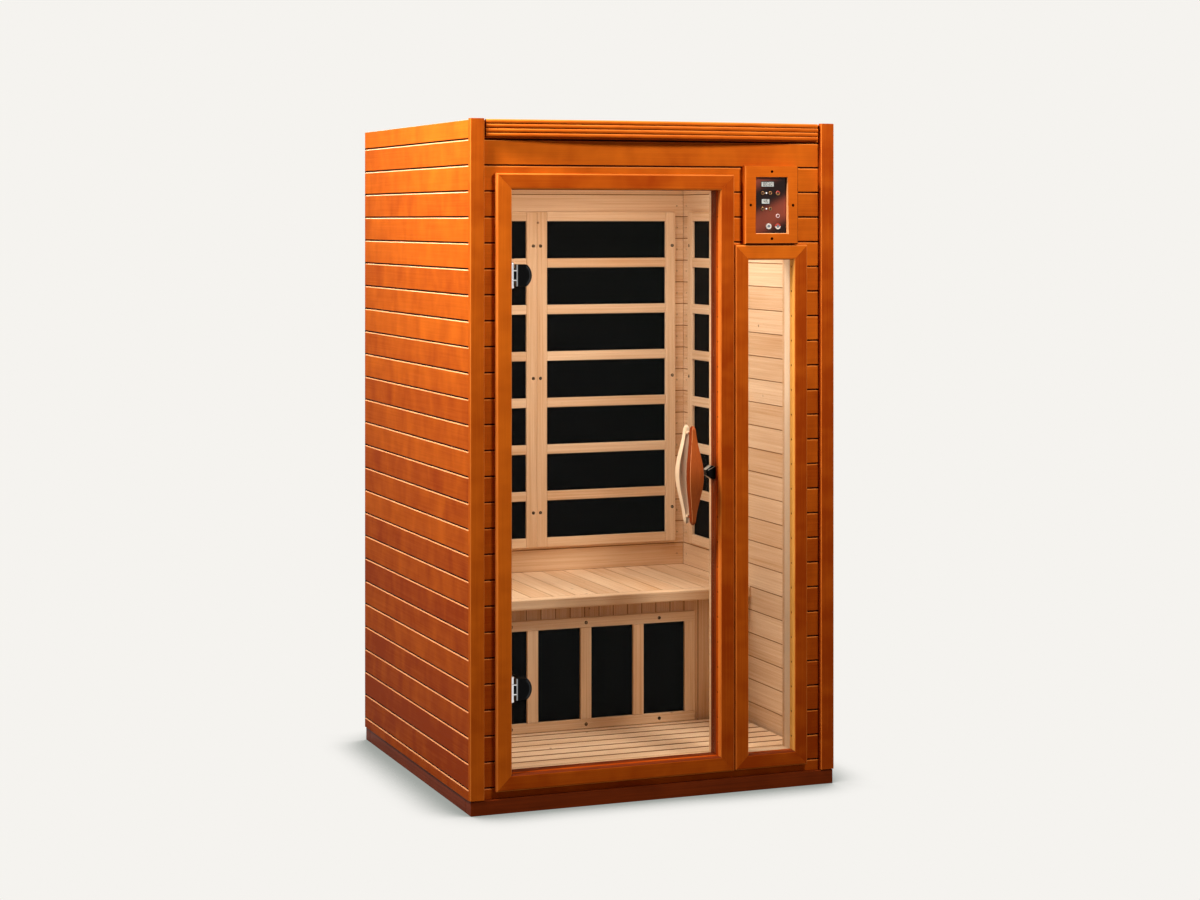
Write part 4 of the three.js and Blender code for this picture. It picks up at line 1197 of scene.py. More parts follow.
@dataclass
class HeaterGrille:
    """A plain wooden grille over a black heater: stiles and rails with eased edges, and its screws."""

    side: str
    facing: Facing
    columns: int
    rows: int
    screws: tuple[float, ...]
    stile: float = 0.035
    rail: float = 0.030
    pocket: float = 0.0053
    rim: float = 0.012
    edge: float = 0.012
    rail_screws: int = 0

    def bar(self, low: Point, high: Point, upright: bool) -> Blank:
        """One bar of the grille, dressed along its grain."""
        x_axis = self.facing.grain()
        return Blank.block(low, high).ease(0.0022, 3).dress(hemlock(Axis.Z if upright else x_axis)).mark()

    def spans(self, low: float, high: float, bar: float, count: int) -> list[float]:
        """Starts of the bars that part a length into equal windows.

        Args:
            low: where the length starts.
            high: where it ends.
            bar: width of a bar.
            count: number of windows.

        Returns:
            Where each bar starts.
        """
        window = (high - low - (count + 1) * bar) / count
        return [low + step * (window + bar) for step in range(count + 1)]

    def build(self) -> None:
        """Model bars, the rim behind them and the screws, and seat the grille."""
        node = f"{self.side}_heater_grille"
        low, high = self.facing.inner_box(*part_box(node))
        floor = high.y - self.pocket
        stiles = self.spans(low.x, high.x, self.stile, self.columns)
        rails = self.spans(low.z, high.z, self.rail, self.rows)
        stacked = self.rows > 1
        foot, top = (low.z, high.z) if stacked else (low.z + self.rail, high.z - self.rail)
        parts = [self.bar((x, low.y, foot), (x + self.stile, floor, top), True) for x in stiles]
        ends = (low.x + self.stile, high.x - self.stile) if stacked else (low.x, high.x)
        parts += [self.bar((ends[0], low.y, z), (ends[1], floor, z + self.rail), False) for z in rails]
        for x in (low.x, high.x - self.rim):
            parts.append(self.bar((x, floor, low.z), (x + self.rim, high.y, high.z), True))
        for z in (low.z, high.z - self.rim):
            parts.append(self.bar((low.x + self.rim, floor, z), (high.x - self.rim, high.y, z + self.rim), False))
        columns = [low.x + self.edge, high.x - self.edge]
        if self.rail_screws:
            step = (high.x - low.x) / self.rail_screws
            columns = [low.x + step * (count + 0.5) for count in range(self.rail_screws)]
        for x in columns:
            for z in self.screws:
                parts.append(Screw(0.005, 0.0004).build((x, low.y, z)))
        join(parts).turn(self.facing.matrix()).seat(f"{self.side}_grille", "cabin", "hemlock", node)
        dress_node(f"{self.side}_heater_element", CARBON_FILM)


@dataclass
class Bench:
    """The seat of planks behind a rounded nose rail, and the boarded panel below it."""

    nose: float = 0.028
    nose_round: float = 0.006

    def build(self) -> None:
        """Lay the planks, the nose rail and the kick panel."""
        low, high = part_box("bench_seat")
        rail = Blank.block(low, (high.x, low.y + self.nose, high.z))
        for level in (low.z, high.z):
            rail.bevel(lambda p: near(p.y, low.y) and near(p.z, level), self.nose_round, 5)
        rail.ease(0.0008).dress(hemlock(Axis.X)).mark().seat("bench_nose_rail", "cabin", "hemlock")
        low.y += self.nose
        BoardPanel("bench_planks", "bench_seat", Facing.UP_LENGTHWISE, BENCH_PLANK, hemlock, "hemlock",
                   low=low, high=high, seam=painted_joint_shade).build()
        # the kick boards are drawn deep: painted shade under the bench
        BoardPanel("bench_kick_boards", "bench_kick_panel", Facing.UPRIGHT, KICK_BOARD, hemlock, "hemlock",
                   seam=painted_joint_shade, foot_tone=0.1, head_tone=0.1, spread=0.6).build()


@dataclass
class Duckboard:
    """The slatted floor: rounded slats on three bearers."""

    slat: float = 0.050
    pitch: float = 0.060
    thickness: float = 0.014
    bearer: float = 0.040
    inset: float = 0.040
    bearers: int = 3

    def build(self) -> None:
        """Model one slat and one bearer, copy them and seat the floor."""
        low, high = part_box("floor_duckboard")
        under = high.z - self.thickness
        slat = Blank.block((low.x, low.y, under), (high.x, low.y + self.slat, high.z))
        for level in (low.y, low.y + self.slat):
            slat.bevel(lambda p: near(p.z, high.z) and near(p.y, level), 0.003, 3)
        slat.ease(0.0008).dress(hemlock(Axis.X))
        count = int((high.y - low.y - self.slat) / self.pitch + 1.01)
        # the slats' front and back faces are drawn brown: painted shade in the gaps between them
        slat.patch(painted_joint_shade(Axis.X), lambda face: abs(face.normal.y) > 0.8)
        parts = [slat, *[slat.copy((0, self.pitch * step, 0)) for step in range(1, count)]]
        # the last slat is ripped to fill the floor up to the leg heater
        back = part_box("leg_heater_grille")[0].y - 0.001
        parts.append(slat.copy((0, self.pitch * count, 0)).bisect((0, back, 0), (0, -1, 0), drop_below=True))
        left = low.x + self.inset
        bearer = Blank.block((left, low.y, low.z), (left + self.bearer, high.y, under)).ease(0.001)
        bearer.dress(hemlock(Axis.Y))
        span = high.x - low.x - 2 * self.inset - self.bearer
        parts.append(bearer)
        parts += [bearer.copy((span * step / (self.bearers - 1), 0, 0)) for step in range(1, self.bearers)]
        join([part.mark(0.6 + 0.4 * next(PLANKS)) for part in parts]).seat("slatted_floor", "cabin", "hemlock", "floor_duckboard")


@dataclass
class Services:
    """The ceiling light, and the supply box with its cable gland on the roof."""

    rim: float = 0.006

    def light(self) -> None:
        """Model the round light with its white rim and opal cover."""
        low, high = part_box("ceiling_light")
        radius = (high.x - low.x) / 2
        lamp = Blank.rod((0, 0, high.z), (0, 0, low.z), radius, 64)
        lamp.bevel(lambda p: near(p.z, low.z), 0.003, 3)
        lamp.inset(lambda p: near(p.z, low.z), self.rim, -0.0015)
        lamp.inset(lambda p: near(p.z, low.z + 0.0015) and p.xy.length < radius - self.rim, 0.02, 0.001)
        lamp.dress(WHITE_RIM)
        lamp.patch(OPAL, lambda face: face.normal.z < -0.9 and face.center.xy.length < radius - self.rim - 0.002)
        lamp.seat("round_light", "cabin", "lamp_cover", "ceiling_light")

    def supply(self) -> None:
        """Model the sheet-metal case with a lid line, vents and lid screws."""
        low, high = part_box("supply_box")
        case = Blank.block(low, (high.x, high.y, high.z - 0.014)).ease(0.0012).dress(ZINC)
        for step in range(7):
            left = low.x + 0.05 + step * 0.018
            case.carve((left, low.y - 0.001, low.z + 0.012), (left + 0.006, low.y + 0.0012, high.z - 0.022))
        lid = Blank.block((low.x, low.y, high.z - 0.0135), high).ease(0.002, 3).dress(ZINC)
        head = Screw(0.0032, 0.0009).build((0, 0, 0), Facing.UP)
        heads = [head.copy((x, y, high.z)) for x in (low.x + 0.012, high.x - 0.012)
                 for y in (low.y + 0.012, high.y - 0.012)]
        head.remove()
        join([case, lid, *heads]).seat("supply_case", "cabin", "zinc_steel", "supply_box")

    def gland(self) -> None:
        """Model the gland: a hexagon nut, a ribbed neck and a domed cap with its bore."""
        low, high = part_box("cable_gland")
        x, z = (low.x + high.x) / 2, (low.z + high.z) / 2
        radius = (high.z - low.z) / 2
        nut = Blank.rod((x, low.y, z), (x, low.y + 0.009, z), radius, 6).ease(0.0008)
        neck = Blank.rod((x, low.y + 0.009, z), (x, high.y, z), radius * 0.86, 32)
        neck.bevel(lambda p: near(p.y, high.y), 0.004, 4)
        neck.inset(lambda p: near(p.y, high.y), 0.001)
        inner = radius * 0.86 - 0.0045
        neck.inset(lambda p: near(p.y, high.y) and math.hypot(p.x - x, p.z - z) < inner, 0.0008, -0.008)
        join([nut.dress(BLACK_ABS), neck.dress(BLACK_ABS)]).seat("lead_gland", "cabin", "black_plastic", "cable_gland")

    def build(self) -> None:
        """Build the three fittings."""
        self.light()
        self.supply()
        self.gland()


@dataclass
class GlassHinge:
    """A glass hinge: a chrome leaf on the jamb and a black half-round clamp on the door."""

    place: str
    axis: tuple[float, float] = (-0.421, -0.463)
    knuckle: float = 0.007
    knuckle_length: float = 0.020
    arm: float = 0.005
    leaf_thickness: float = 0.0022
    glass_half: float = 0.0043
    plate: float = 0.004
    straight: float = 0.030
    round_end: float = 0.016
    reach: float = 0.009
    bar: float = 0.0045
    bar_proud: float = 0.0003
    washer: float = 0.003

    def barrel(self, low: float, high: float, toward: float) -> list[Blank]:
        """Model one chrome knuckle with its dark arm.

        Args:
            low: its lower end.
            high: its upper end.
            toward: where along X the arm ends.

        Returns:
            Knuckle and arm.
        """
        x, y = self.axis
        tube = Blank.rod((x, y, low), (x, y, high), self.knuckle, 32)
        for level in (low, high):
            tube.bevel(lambda p: near(p.z, level), 0.0008, 2)
        arm = Blank.block((min(x, toward), y - self.arm, low), (max(x, toward), y + self.arm, high)).ease(0.0006)
        return [tube.dress(CHROME), arm.dress(ENAMEL)]

    def washers(self, low: float, high: float, toward: float) -> list[Blank]:
        """Model the chrome washers at the ends of the middle knuckle, each with a tab to the clamp.

        Args:
            low: the knuckle's lower end.
            high: its upper end.
            toward: where along X the tabs end.

        Returns:
            Washers and tabs.
        """
        x, y = self.axis
        made = []
        for foot in (low, high - self.washer):
            disc = Blank.rod((x, y, foot), (x, y, foot + self.washer), self.knuckle + 0.001, 32).ease(0.0002)
            tab = Blank.block((x, y - self.arm - 0.0035, foot), (toward, y, foot + self.washer)).ease(0.0004)
            made += [disc.dress(CHROME), tab.dress(CHROME)]
        return made

    def leaf(self) -> None:
        """Model the chrome leaf with its two knuckles and two screws."""
        node = f"{self.place}_hinge_leaf"
        low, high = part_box(node)
        face = low.x + self.leaf_thickness
        plate = Blank.block(low, (face, self.axis[1] + 0.017, high.z)).ease(0.0007, 3).dress(CHROME)
        parts = [plate, *self.barrel(low.z, low.z + self.knuckle_length, low.x + 0.001),
                 *self.barrel(high.z - self.knuckle_length, high.z, low.x + 0.001)]
        middle = (low.z + high.z) / 2
        for side in (-0.011, 0.011):
            parts.append(Screw(0.0035, 0.0003).build((face, self.axis[1] + side, middle), Facing.RIGHT))
        join(parts).seat(f"{self.place}_chrome_leaf", "cabin", "chrome", node)
        dress_node(f"{self.place}_hinge_pin", ZINC)

    def clamp(self) -> None:
        """Model the half-round clamp plates on both faces of the glass, with web and knuckle."""
        node = f"{self.place}_hinge_clamp"
        low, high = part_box(node)
        middle = (low.z + high.z) / 2
        tall = (high.z - low.z) / 2
        right = high.x + self.reach
        chord = right - self.round_end
        left = chord - self.straight
        radius = (tall ** 2 + self.round_end ** 2) / (2 * self.round_end)
        y = self.axis[1]
        outer = y - self.glass_half - self.plate
        front = Blank.rod((right - radius, outer, middle), (right - radius, outer + self.plate, middle), radius, 96)
        front.bisect((chord, 0, 0), (1, 0, 0), drop_below=True)
        front.shift(lambda p: near(p.x, chord), (-self.straight, 0, 0))
        front.bevel(lambda p: near(p.y, outer), 0.0016, 3)
        front.inset(lambda p: near(p.y, outer), 0.003)
        rim = 0.0042

        def inside(p: Vector) -> bool:
            """Whether a point lies inside the rim of the plate's front."""
            return (near(p.y, outer) and p.x > left + rim and abs(p.z - middle) < tall - rim
                    and math.hypot(p.x - right + radius, p.z - middle) < radius - rim)

        front.inset(inside, 0.002, -0.0006)
        front.dress(ENAMEL)
        # the sunk field's rim is drawn grey as a crescent at the round end: painted reflection
        front.patch(PAINTED_RIM_REFLECTION, lambda face: -0.98 < face.normal.y < -0.1 and face.center.x > chord
                    and face.center.y > outer + 0.0001 and face.center.x < right - 0.0025)
        back = front.copy()
        back.turn(Matrix.Diagonal((1, -1, 1)))
        back.move((0, 2 * y, 0)).flip()
        web = Blank.block((left, y - self.glass_half, low.z + 0.002),
                          (left + 0.004, y + self.glass_half, high.z - 0.002)).ease(0.0005).dress(ENAMEL)
        half = (tall + 0.004) - self.knuckle_length - 0.0003
        knuckle = self.barrel(middle - half, middle + half, left + 0.002)
        washers = self.washers(middle - half, middle + half, left + 0.001)
        proud = outer - self.bar_proud
        bar = Blank.block((left, proud, low.z + 0.001), (left + self.bar, outer + 0.001, high.z - 0.001))
        bar.bevel(lambda p: near(p.y, proud), 0.001, 3).dress(ZINC)
        parts = [front, back, web, bar, *knuckle, *washers]
        join(parts).seat(f"{self.place}_black_clamp", "door", "black_metal", node)

    def build(self) -> None:
        """Build both halves of the hinge."""
        self.leaf()
        self.clamp()


@dataclass
class DoorPull:
    """A leaf-shaped wooden pull, thick in its middle, that stands off the glass on two feet."""

    node: str
    name: str
    outwards: float
    wood: Callable[[Axis], Timber]
    side: Callable[[Axis], Timber]
    ridge: Callable[[Axis], Timber]
    slot: str
    length: float = 0.280
    half_width: float = 0.0215
    tip: float = 0.0055
    tip_length: float = 0.014
    thin: float = 0.020
    thick: float = 0.0285
    tip_gap: float = 0.007
    middle_gap: float = 0.0195
    foot: float = 0.005
    foot_place: float = 0.118

    def swell(self, z: float) -> float:
        """How far the leaf has swollen at a distance from its middle, from 0 to 1."""
        return math.cos(math.pi * z / self.length) ** 2

    def taper(self, z: float) -> float:
        """The share of its section that is left at a distance from its middle: a half ellipse at each tip.

        Args:
            z: the distance from the middle along the leaf.

        Returns:
            The share, 1 along most of the leaf.
        """
        past = max(abs(z) - (self.length / 2 - self.tip_length), 0) / self.tip_length
        return max(math.sqrt(max(1 - past ** 2, 0)), 0.35)

    def half(self, z: float) -> float:
        """Half its width at a distance from its middle."""
        return (self.tip + (self.half_width - self.tip) * self.swell(z)) * self.taper(z)

    def gap(self, z: float) -> float:
        """How far its back stands off the glass at a distance from its middle."""
        return self.tip_gap + (self.middle_gap - self.tip_gap) * self.swell(z)

    def leaf(self, x: float, face: float, z: float) -> Blank:
        """Round the long edges of a blank, cut it into levels and shape each level.

        Args:
            x: middle of the leaf across the door.
            face: the face of the glass.
            z: height of its middle.

        Returns:
            The leaf.
        """
        back = face + self.outwards * self.tip_gap
        far = back + self.outwards * self.thin
        end = self.length / 2
        leaf = Blank.block((x - self.half_width, min(back, far), z - end),
                           (x + self.half_width, max(back, far), z + end))
        for side in (-self.half_width, self.half_width):
            for y in (back, far):
                leaf.bevel(lambda p: near(p.x, x + side) and near(p.y, y), 0.002, 3)
        rises = [0.0105 * step for step in range(13)] + [0.130, 0.134, 0.137, 0.139]
        rises = sorted({0.0, *rises, *[-rise for rise in rises]})
        for rise in rises:
            leaf.bisect((0, 0, z + rise), (0, 0, 1))
        middle = (back + far) / 2
        for rise in [-end, *rises, end]:
            full = self.thin + (self.thick - self.thin) * self.swell(rise)
            thick = full * self.taper(rise)
            away = self.gap(rise) + full / 2 - self.tip_gap - self.thin / 2
            level = z + rise

            def here(p: Vector) -> bool:
                """Whether a point is at this level of the leaf."""
                return near(p.z, level)

            leaf.resize(here, (self.half(rise) / self.half_width, thick / self.thin, 1), (x, middle, level))
            leaf.shift(here, (0, self.outwards * away, 0))
        leaf.ease(0.0015, 2, 60).modify("SUBSURF", levels=1, render_levels=1)
        leaf.dress(self.wood(Axis.Z))
        # the left side takes the side timber, which on the outer pull is painted shade
        leaf.patch(self.side(Axis.Z), lambda face: face.normal.x < -0.75)
        # the ridge between side and front takes the ridge timber, which on the outer pull is a painted highlight
        return leaf.patch(self.ridge(Axis.Z), lambda face: self.outwards * face.normal.y > 0.3
                          and face.normal.x < -0.35)

    def build(self) -> None:
        """Shape the leaf, stand it on two turned feet over the bolts and seat the pull."""
        low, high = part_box(self.node)
        face = high.y if self.outwards < 0 else low.y
        x, z = (low.x + high.x) / 2, (low.z + high.z) / 2
        leaf = self.leaf(x, face, z)
        root = face + self.outwards * (self.gap(self.foot_place) + 0.003)
        foot = Blank.rod((x, face, z - self.foot_place), (x, root, z - self.foot_place), self.foot, 24)
        foot.bevel(lambda p: near(p.y, face), 0.0008, 2).dress(self.wood(Axis.Y))
        parts = [leaf, foot, foot.copy((0, 0, 2 * self.foot_place))]
        join([part.mark(0.5) for part in parts]).seat(self.name, "door", self.slot, self.node)


@dataclass
class Catch:
    """The black magnetic catch on the jamb, fanned out, and the clip on the glass that it holds."""

    nose: Point = (1.0, 1.0, 0.42)
    flare: float = 0.017
    glass_front: float = -0.4673
    glass_back: float = -0.4587
    clip_wall: float = 0.0017

    def build(self) -> None:
        """Model the catch on the cabin and the clip on the door."""
        low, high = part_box("door_catch")
        middle = (low + high) / 2
        body = Blank.block(low, high)
        body.bisect((low.x + self.flare, 0, 0), (1, 0, 0))
        body.resize(lambda p: near(p.x, low.x), self.nose, (low.x, middle.y, middle.z))
        body.ease(0.0014, 3, 20).dress(BLACK_ABS)
        # the slanting flanks are drawn bright grey: painted highlight
        body.patch(PAINTED_GLINT, lambda face: face.normal.x < -0.25 and abs(face.normal.z) > 0.3)
        body.seat("fanned_catch", "cabin", "black_plastic", "door_catch")
        low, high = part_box("catch_strike")
        middle = (low + high) / 2
        clip = Blank.block(low, high)
        clip.resize(lambda p: near(p.x, low.x), self.nose, (low.x, middle.y, middle.z))
        clip.ease(0.0014, 3, 10).dress(ENAMEL)
        # the clip's upper slanting faces are drawn bright grey: painted highlight
        clip.patch(PAINTED_GLINT, lambda face: face.normal.z > 0.2 and -0.9 < face.normal.y < -0.2)
        clip.carve((low.x - 0.01, self.glass_front, low.z - 0.01),
                   (high.x - self.clip_wall, self.glass_back, high.z + 0.01))
        clip.seat("glass_clip", "door", "black_metal", "catch_strike")


@dataclass
class PushKey:
    """A round push key: a ringed rim and a cap set a little lower, on a flange behind the plate."""

    node: str
    radius: float
    rim: Surface
    cap: Surface
    rim_width: float
    slot: str
    lower_rim: Surface | None = None

    def build(self) -> None:
        """Turn the key and seat it on its own body."""
        low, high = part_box(self.node)
        x, z = (low.x + high.x) / 2, (low.z + high.z) / 2
        inner = self.radius - self.rim_width
        key = Blank.rod((x, low.y, z), (x, high.y - 0.0015, z), self.radius, 40)
        key.bevel(lambda p: near(p.y, low.y), 0.0007, 3)
        key.inset(lambda p: near(p.y, low.y), self.rim_width - 0.0007)
        key.inset(lambda p: near(p.y, low.y) and math.hypot(p.x - x, p.z - z) < inner + 0.0002, 0.0003, -0.0004)
        key.dress(self.rim)
        if self.lower_rim:
            key.patch(self.lower_rim, lambda face: face.center.z < z)
        key.patch(self.cap, lambda face: face.normal.y < -0.9 and face.center.y > low.y + 0.0002
                  and math.hypot(face.center.x - x, face.center.z - z) < inner)
        flange = Blank.rod((x, high.y - 0.0015, z), (x, high.y, z), (high.x - low.x) / 2, 40)
        flange.ease(0.0003).dress(self.cap)
        join([key, flange]).seat(f"{self.node}_cap", self.node, self.slot, self.node)


SEGMENTS = {"0": "abcdef", "3": "abcdg", "4": "bcfg", "5": "acdfg"}


@dataclass
class ControlPanel:
    """The control panel: mitred frame, printed plate, two displays, seven keys, a socket and two diodes."""

    hole: Opening = Opening(0.303, 0.403, 1.585, 1.745)
    middle: tuple[float, float] = (0.353, 1.665)
    plate: float = -0.4973
    round_by: float = 0.004
    inner_round: float = 0.003

    def frame(self) -> None:
        """Model the frame and the four screws in the middle of its bars."""
        low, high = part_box("control_frame")
        hole_low, hole_high = self.hole.cut()
        board = Blank.block(low, high).dress(stained(Axis.X)).carve(hole_low, hole_high)
        for axis, outer, inner in ((0, (low.x, high.x), (self.hole.left, self.hole.right)),
                                   (2, (low.z, high.z), (self.hole.sill, self.hole.head))):
            for level in outer:
                board.bevel(lambda p: near(p.y, low.y) and near(p[axis], level), self.round_by, 4)
            for level in inner:
                board.bevel(lambda p: near(p.y, low.y) and near(p[axis], level), self.inner_round, 3)
        # outer edges facing up and left are drawn lighter: painted highlight
        board.patch(painted_edge_light(Axis.X), lambda face: face.normal.y < -0.3 and max(face.normal.z, -face.normal.x) > 0.5)
        # outer edges facing right and down are drawn near black: painted shade
        board.patch(painted_shade(Axis.X), lambda face: max(face.normal.x, -face.normal.z) > 0.3 and not (
            self.hole.left - 0.005 < face.center.x < self.hole.right + 0.005
            and self.hole.sill - 0.005 < face.center.z < self.hole.head + 0.005))
        # the inner edges below and on the right are drawn pale: painted highlight
        board.patch(painted_highlight(Axis.X), lambda face: self.hole.sill - 0.002 < face.center.z < self.hole.head
                    and self.hole.left < face.center.x < self.hole.right + 0.004
                    and max(face.normal.z, -face.normal.x) > 0.4)
        board.mark(0.6)
        x, z = self.middle
        places = [(x, (high.z + self.hole.head) / 2), (x, (low.z + self.hole.sill) / 2),
                  ((low.x + self.hole.left) / 2, z), ((high.x + self.hole.right) / 2, z)]
        heads = [Screw(0.004).build((px, low.y, pz)) for px, pz in places]
        join([board, *heads]).seat("control_casing", "cabin", "stained_wood", "control_frame")
        dress_node("control_plate", PANEL_PRINT)

    def digit(self, figure: str, left: float, foot: float, front: float) -> list[Blank]:
        """Model one seven-segment figure.

        Args:
            figure: which figure.
            left: its left edge.
            foot: its lower edge.
            front: the plane that it stands proud of.

        Returns:
            Its segments.
        """
        wide, tall, bar = 0.0056, 0.0096, 0.0014
        half = (tall - bar) / 2
        boxes = {"a": (0, tall - bar, wide, bar), "g": (0, half, wide, bar), "d": (0, 0, wide, bar),
                 "f": (0, half, bar, half), "b": (wide - bar, half, bar, half),
                 "e": (0, 0, bar, half), "c": (wide - bar, 0, bar, half)}
        made = []
        for key in SEGMENTS[figure]:
            x, z, width, height = boxes[key]
            segment = Blank.block((left + x, front - 0.0001, foot + z),
                                  (left + x + width, front + 0.0003, foot + z + height))
            made.append(segment.ease(0.0001, 1).dress(LCD_SEGMENT))
        return made

    def display(self, node: str, figures: str) -> None:
        """Model a display: rounded bezel, sunk pale window and its figures.

        Args:
            node: the CAD node that it stands for.
            figures: the figures that it shows.
        """
        low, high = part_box(node)
        bezel = Blank.block(low, high)
        for x in (low.x, high.x):
            for z in (low.z, high.z):
                bezel.bevel(lambda p: near(p.x, x) and near(p.z, z), 0.002, 3)
        bezel.inset(lambda p: near(p.y, low.y), 0.0018)
        window = lambda p: (near(p.y, low.y) and low.x + 0.001 < p.x < high.x - 0.001
                            and low.z + 0.001 < p.z < high.z - 0.001)
        bezel.inset(window, 0.0003, -0.0005)
        bezel.dress(BEZEL)
        bezel.patch(LCD_GLASS, lambda face: face.normal.y < -0.9 and face.center.y > low.y + 0.0003)
        pitch = 0.0078
        left = (low.x + high.x - pitch * len(figures)) / 2 + 0.0014
        foot = (low.z + high.z) / 2 - 0.0048
        parts = [bezel]
        for step, figure in enumerate(figures):
            parts += self.digit(figure, left + step * pitch, foot, low.y + 0.0005)
        join(parts).seat(f"{node}_window", "cabin", "display_window", node)

    def lamps(self) -> None:
        """Model the two diodes between the keys, and the ringed socket."""
        x, z = self.middle
        lens = Blank.rod((x - 0.0135, self.plate - 0.0012, z + 0.0345), (x - 0.0135, self.plate + 0.001, z + 0.0345),
                         0.0024, 20)
        lens.bevel(lambda p: near(p.y, self.plate - 0.0012), 0.0009, 3).dress(LED_LENS)
        join([lens, lens.copy((0, 0, -0.045))]).seat("panel_diodes", "cabin", "lamp_cover")
        low = self.plate - 0.0015
        px, pz = x + 0.0225, z - 0.0305
        ring = Blank.rod((px, low, pz), (px, self.plate + 0.001, pz), 0.006, 40)
        ring.bevel(lambda p: near(p.y, low), 0.001, 3)
        ring.inset(lambda p: near(p.y, low), 0.0012)
        ring.inset(lambda p: near(p.y, low) and math.hypot(p.x - px, p.z - pz) < 0.0042, 0.0003, -0.002)
        ring.dress(ROSE_RING)
        ring.patch(BEZEL, lambda face: face.center.y > low + 0.0005 and math.hypot(
            face.center.x - px, face.center.z - pz) < 0.0037)
        ring.seat("panel_socket", "cabin", "pale_key")

    def keys(self) -> None:
        """Build the seven keys."""
        for name in ("time_down", "time_up", "heat_down", "heat_up"):
            PushKey(f"{name}_button", 0.005, GOLD_RING, DARK_CAP, 0.0014, "dark_key").build()
        PushKey("power_button", 0.0065, RED_CAP, DARK_CAP, 0.0026, "red_key", GOLD_RING).build()
        PushKey("lamp_button", 0.0085, PALE_CAP, SLATE_CAP, 0.004, "pale_key").build()
        PushKey("sound_button", 0.0085, RED_CAP, SLATE_CAP, 0.0034, "red_key", PALE_CAP).build()

    def build(self) -> None:
        """Build the whole panel."""
        self.frame()
        self.display("time_display", "0030")
        self.display("heat_display", "45")
        self.lamps()
        self.keys()


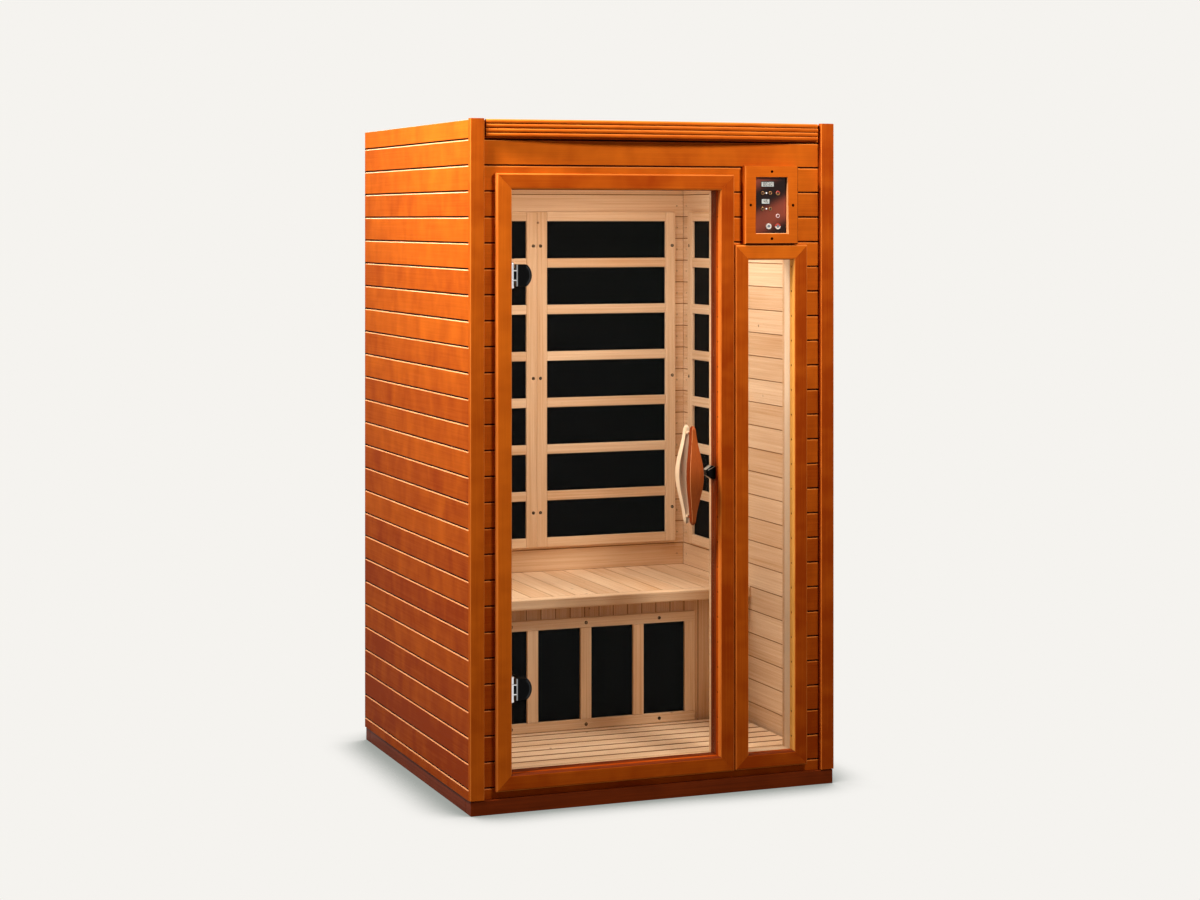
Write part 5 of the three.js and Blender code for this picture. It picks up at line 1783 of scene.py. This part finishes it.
@dataclass
class Studio:
    """A pale seamless floor, soft lamps and the camera at the photograph's angle."""

    backdrop: str = "#F5F3EF"
    shade: str = "#9DA19C"
    bounce: str = "#5C5955"

    def camera(self) -> None:
        """Set up the camera."""
        data = bpy.data.cameras.new("camera")
        data.sensor_width = 36.0
        data.lens = 69.06
        data.shift_x = 0.0819
        data.shift_y = -0.1914
        camera = bpy.data.objects.new("camera", data)
        camera.location = (-2.6109, -6.4054, 1.6217)
        camera.rotation_euler = (math.pi / 2, 0, math.radians(-19.98))
        bpy.context.scene.collection.objects.link(camera)
        bpy.context.scene.camera = camera

    def seen(self, tree: bpy.types.NodeTree) -> bpy.types.NodeSocket:
        """Add nodes that tell rays that look at the backdrop from rays that carry its light.

        Args:
            tree: the nodes to add to.

        Returns:
            A socket that is 1 for camera, glossy and transmission rays.
        """
        rays = add_node(tree, "ShaderNodeLightPath")
        two = add_node(tree, "ShaderNodeMath", {0: rays.outputs["Is Camera Ray"], 1: rays.outputs["Is Glossy Ray"]},
                       operation="MAXIMUM").outputs[0]
        return add_node(tree, "ShaderNodeMath", {0: two, 1: rays.outputs["Is Transmission Ray"]},
                        operation="MAXIMUM").outputs[0]

    def world(self) -> None:
        """Make the surroundings: pale to look at, and a softer light."""
        world = bpy.data.worlds.new("studio")
        bpy.context.scene.world = world
        world.use_nodes = True
        tree = world.node_tree
        shown = tree.nodes["Background"]
        shown.inputs["Color"].default_value = linear(self.backdrop)
        shown.inputs["Strength"].default_value = 1.0
        light = add_node(tree, "ShaderNodeBackground", {"Color": linear("#FFF6EC"), "Strength": 0.05})
        mix = add_node(tree, "ShaderNodeMixShader", {0: self.seen(tree), 1: light.outputs[0], 2: shown.outputs[0]})
        tree.links.new(mix.outputs[0], tree.nodes["World Output"].inputs["Surface"])

    def floor(self) -> None:
        """Make the floor, whose shadow fades into the backdrop away from the cabin."""
        Blank.clear()
        bpy.ops.mesh.primitive_plane_add(size=60)
        plane = bpy.context.object
        plane.name = "studio_floor"
        material = bpy.data.materials.new("Seamless paper")
        material.use_nodes = True
        tree = material.node_tree
        paper = tree.nodes["Principled BSDF"]
        paper.inputs["Base Color"].default_value = linear(self.bounce)
        paper.inputs["Roughness"].default_value = 0.9
        paper.inputs["Specular IOR Level"].default_value = 0.0
        # the cabin's shadow hugs its base: paper darkens where less than 200 mm of sky is open
        open_sky = add_node(tree, "ShaderNodeAmbientOcclusion", {"Distance": 0.2}).outputs["AO"]
        soft = add_node(tree, "ShaderNodeMapRange", {0: open_sky, 1: 0.5, 2: 0.95, 3: 0.0, 4: 1.0},
                        interpolation_type="SMOOTHSTEP").outputs[0]
        tone = add_node(tree, "ShaderNodeMix", {0: soft, 6: linear(self.shade), 7: linear(self.backdrop)},
                        data_type="RGBA").outputs[2]
        plain = add_node(tree, "ShaderNodeEmission", {"Color": tone, "Strength": 1.0})
        mix = add_node(tree, "ShaderNodeMixShader", {0: self.seen(tree), 1: paper.outputs[0], 2: plain.outputs[0]})
        tree.links.new(mix.outputs[0], tree.nodes["Material Output"].inputs["Surface"])
        plane.data.materials.append(material)

    def lamp(self, name: str, place: Point, aim: Point, size: tuple[float, float], watts: float, colour: str,
             mirrored: bool = True) -> None:
        """Add one soft rectangular lamp.

        Args:
            name: the lamp's name.
            place: where it stands.
            aim: the point that it faces.
            size: its width and height.
            watts: its power.
            colour: its colour.
            mirrored: whether glossy surfaces show it.
        """
        data = bpy.data.lights.new(name, "AREA")
        data.shape = "RECTANGLE"
        data.size, data.size_y = size
        data.energy = watts
        data.color = linear(colour)[:3]
        lamp = bpy.data.objects.new(name, data)
        lamp.location = place
        lamp.rotation_euler = (Vector(aim) - Vector(place)).to_track_quat("-Z", "Y").to_euler()
        lamp.visible_camera = False
        lamp.visible_glossy = mirrored
        bpy.context.scene.collection.objects.link(lamp)

    def build(self) -> None:
        """Set up camera, world, floor and lamps."""
        self.camera()
        self.world()
        self.floor()
        self.lamp("side_key", (-1.7, -0.72, 3.25), (-0.55, -0.1, 1.2), (0.6, 0.6), 152, "#FFF3E4")
        self.lamp("front_key", (0.8, -2.0, 2.85), (0.1, -0.5, 1.3), (0.4, 0.4), 44, "#FFF6EC")
        self.lamp("front_fill", (1.6, -4.6, 1.6), (0.0, -0.5, 0.8), (1.6, 1.6), 15, "#FFFAF4", False)
        self.lamp("right_key", (3.0, 1.2, 2.9), (0.55, 0.1, 1.1), (1.0, 1.0), 110, "#FFF6EC")
        self.lamp("rear_key", (-0.4, 3.2, 2.9), (0.0, 0.5, 1.1), (1.0, 1.0), 110, "#FFF6EC")
        self.lamp("cabin_light", (0.0, -0.1, 1.755), (0.0, -0.1, 0.0), (0.9, 0.5), 5.5, "#FFF8F0", False)
        self.lamp("head_fill", (0.0, -0.3, 1.5), (0.0, 0.46, 1.76), (0.5, 0.15), 0.6, "#FFF4E8", False)
        self.lamp("cabin_fill", (-0.3, 0.0, 1.1), (0.5, -0.25, 0.9), (0.4, 0.4), 2.9, "#FFFCF8", False)
        self.lamp("reveal_fill", (0.3, -0.425, 1.3), (0.427, -0.455, 1.3), (0.03, 0.45), 0.13, "#FFF8F0", False)
        self.lamp("floor_fill", (0.05, -0.2, 0.45), (0.05, -0.2, 0.0), (0.8, 0.3), 0.3, "#FFF8F0", False)


def main() -> None:
    """Build the cabin from the ground up, then the studio round it."""
    door = Opening(-0.433, 0.194, 0.105, 1.706)
    window = Opening(0.284, 0.427, 0.104, 1.509)
    Studio().build()
    Plinth().build()
    Walls(door, window).build()
    # the left post is drawn pale and the right one deep: partly each post's own tone, partly painted light from the
    # left
    for side, tone in (("left", 0.55), ("right", 0.0)):
        CornerPost(side, tone).build()
    Visor().build()
    casing = Casing(door, window)
    casing.door_frame()
    casing.window_frame()
    casing.reveals()
    wall_screws = (0.69, 1.118, 1.54)
    HeaterGrille("rear_left", Facing.FRONT, 1, 7, wall_screws).build()
    HeaterGrille("rear_right", Facing.FRONT, 1, 7, wall_screws).build()
    HeaterGrille("left", Facing.RIGHT, 1, 7, wall_screws).build()
    HeaterGrille("right", Facing.LEFT, 1, 7, wall_screws).build()
    HeaterGrille("leg", Facing.FRONT, 4, 1, (0.103, 0.409), rail_screws=3).build()
    Bench().build()
    Duckboard().build()
    Services().build()
    for place in ("lower", "upper"):
        GlassHinge(place).build()
        dress_node(f"{place}_handle_bolt", ZINC)
    # the outer pull's side is drawn dark, painted shade, and its ridge pale, a painted highlight
    DoorPull("outer_handle", "outer_pull", -1.0, oiled, dark_stain_and_painted_shade, painted_highlight, "stained_wood").build()
    DoorPull("inner_handle", "inner_pull", 1.0, bare_and_painted_light, bare_and_painted_light, bare_and_painted_light, "hemlock").build()
    Catch().build()
    ControlPanel().build()
    for pane in ("door_glass", "window_glass"):
        dress_node(pane, FLOAT_GLASS)
    bpy.context.scene.view_settings.view_transform = "Standard"


if __name__ == "__main__":
    logging.basicConfig(level=logging.INFO, format="%(message)s")
    main()
